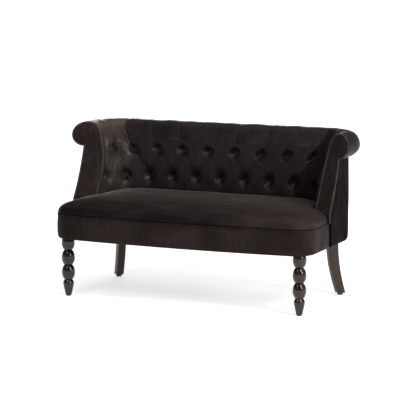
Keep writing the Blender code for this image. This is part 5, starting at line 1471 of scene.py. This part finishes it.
def studio():
    half = FLOOR_HALF_WIDTH
    corners = [(-half, -half, 0.0), (half, -half, 0.0), (half, half, 0.0), (-half, half, 0.0)]
    mesh_object("floor", corners, [(0, 1, 2, 3)], floor_material(), world=True)
    m = Nodes(bpy.data.worlds.new("studio"))
    bpy.context.scene.world = m.owner
    height = m.node("ShaderNodeSeparateXYZ", {"Vector": m.places["Generated"]}).outputs["Z"]
    band = m.remap(height, 0.0, HORIZON_BAND, 1.0, CEILING_LEVEL)
    camera_rays, seen = seen_rays(m)
    shown = m.math("MAXIMUM", camera_rays, m.math("MULTIPLY", seen, band))
    m.fill(m.tree.nodes["Background"], {"Color": WHITE, "Strength": m.math("MAXIMUM", shown, WORLD_LEVEL)})


def softbox(name, place, target, width, height, power):
    """A rectangular lamp that faces its target."""
    data = bpy.data.lights.new(name, "AREA")
    data.shape = "RECTANGLE"
    data.size, data.size_y = width, height
    data.energy = power
    lamp = bpy.data.objects.new(name, data)
    lamp.location = place
    direction = np.array(target) - np.array(place)
    lamp.rotation_euler = Vector(direction).to_track_quat("-Z", "Y").to_euler()
    bpy.context.scene.collection.objects.link(lamp)


# Name, place, the point it faces, width, height and power of each lamp
LAMPS = (("key", (2.2, -1.2, 2.2), (0.0, 0.0, 0.45), 0.5, 1.1, 42.0),
         ("low", (5.0, -1.6, 2.0), (0.0, 0.0, 0.45), 1.4, 1.4, 100.0),
         ("fill", (-0.6, -2.5, 2.5), (0.0, 0.0, 0.4), 0.4, 0.9, 14.0),
         ("back", (1.9, 1.2, 1.7), (0.4, -0.2, 0.4), 0.5, 0.5, 5.0),
         ("rear", (-1.6, 3.1, 1.40), (0.0, 0.2, 0.5), 0.9, 0.6, 16.0),
         ("top", (-0.2, -0.1, 3.2), (0.0, 0.0, 0.0), 2.4, 2.4, 19.0))
CAMERA_PLACE = (3.302, -7.470, 1.619)
CAMERA_DIP, CAMERA_TURN = 8.68, 23.72  # degrees below the level, and from straight in front
CAMERA_LENS, CAMERA_SENSOR = 170.8, 36.0  # mm
CAMERA_REACH = 100.0


def camera():
    """The photograph's viewpoint, from a fit to the settee's own points."""
    data = bpy.data.cameras.new("camera")
    data.lens, data.sensor_width, data.clip_end = CAMERA_LENS, CAMERA_SENSOR, CAMERA_REACH
    data.dof.use_dof = False
    obj = bpy.data.objects.new("camera", data)
    obj.location = CAMERA_PLACE
    obj.rotation_euler = (math.radians(90.0 - CAMERA_DIP), 0.0, math.radians(CAMERA_TURN))
    bpy.context.scene.collection.objects.link(obj)
    bpy.context.scene.camera = obj
    bpy.context.scene.view_settings.view_transform = "Standard"


# Making

inside_back_cover()
tuft_buttons()
seat_strip()
seat_piping()
seat_cushion()
outside_panels()
for side_word, side_sign in (("left", -1.0), ("right", 1.0)):
    inside_arm_cover(side_word, side_sign)
    arm_front(side_word, side_sign)
    arm_front_piping(side_word, side_sign)
    front_leg(side_word, side_sign)
    rear_leg(side_word, side_sign)
finish_frame()
studio()
for lamp_facts in LAMPS:
    softbox(*lamp_facts)
camera()
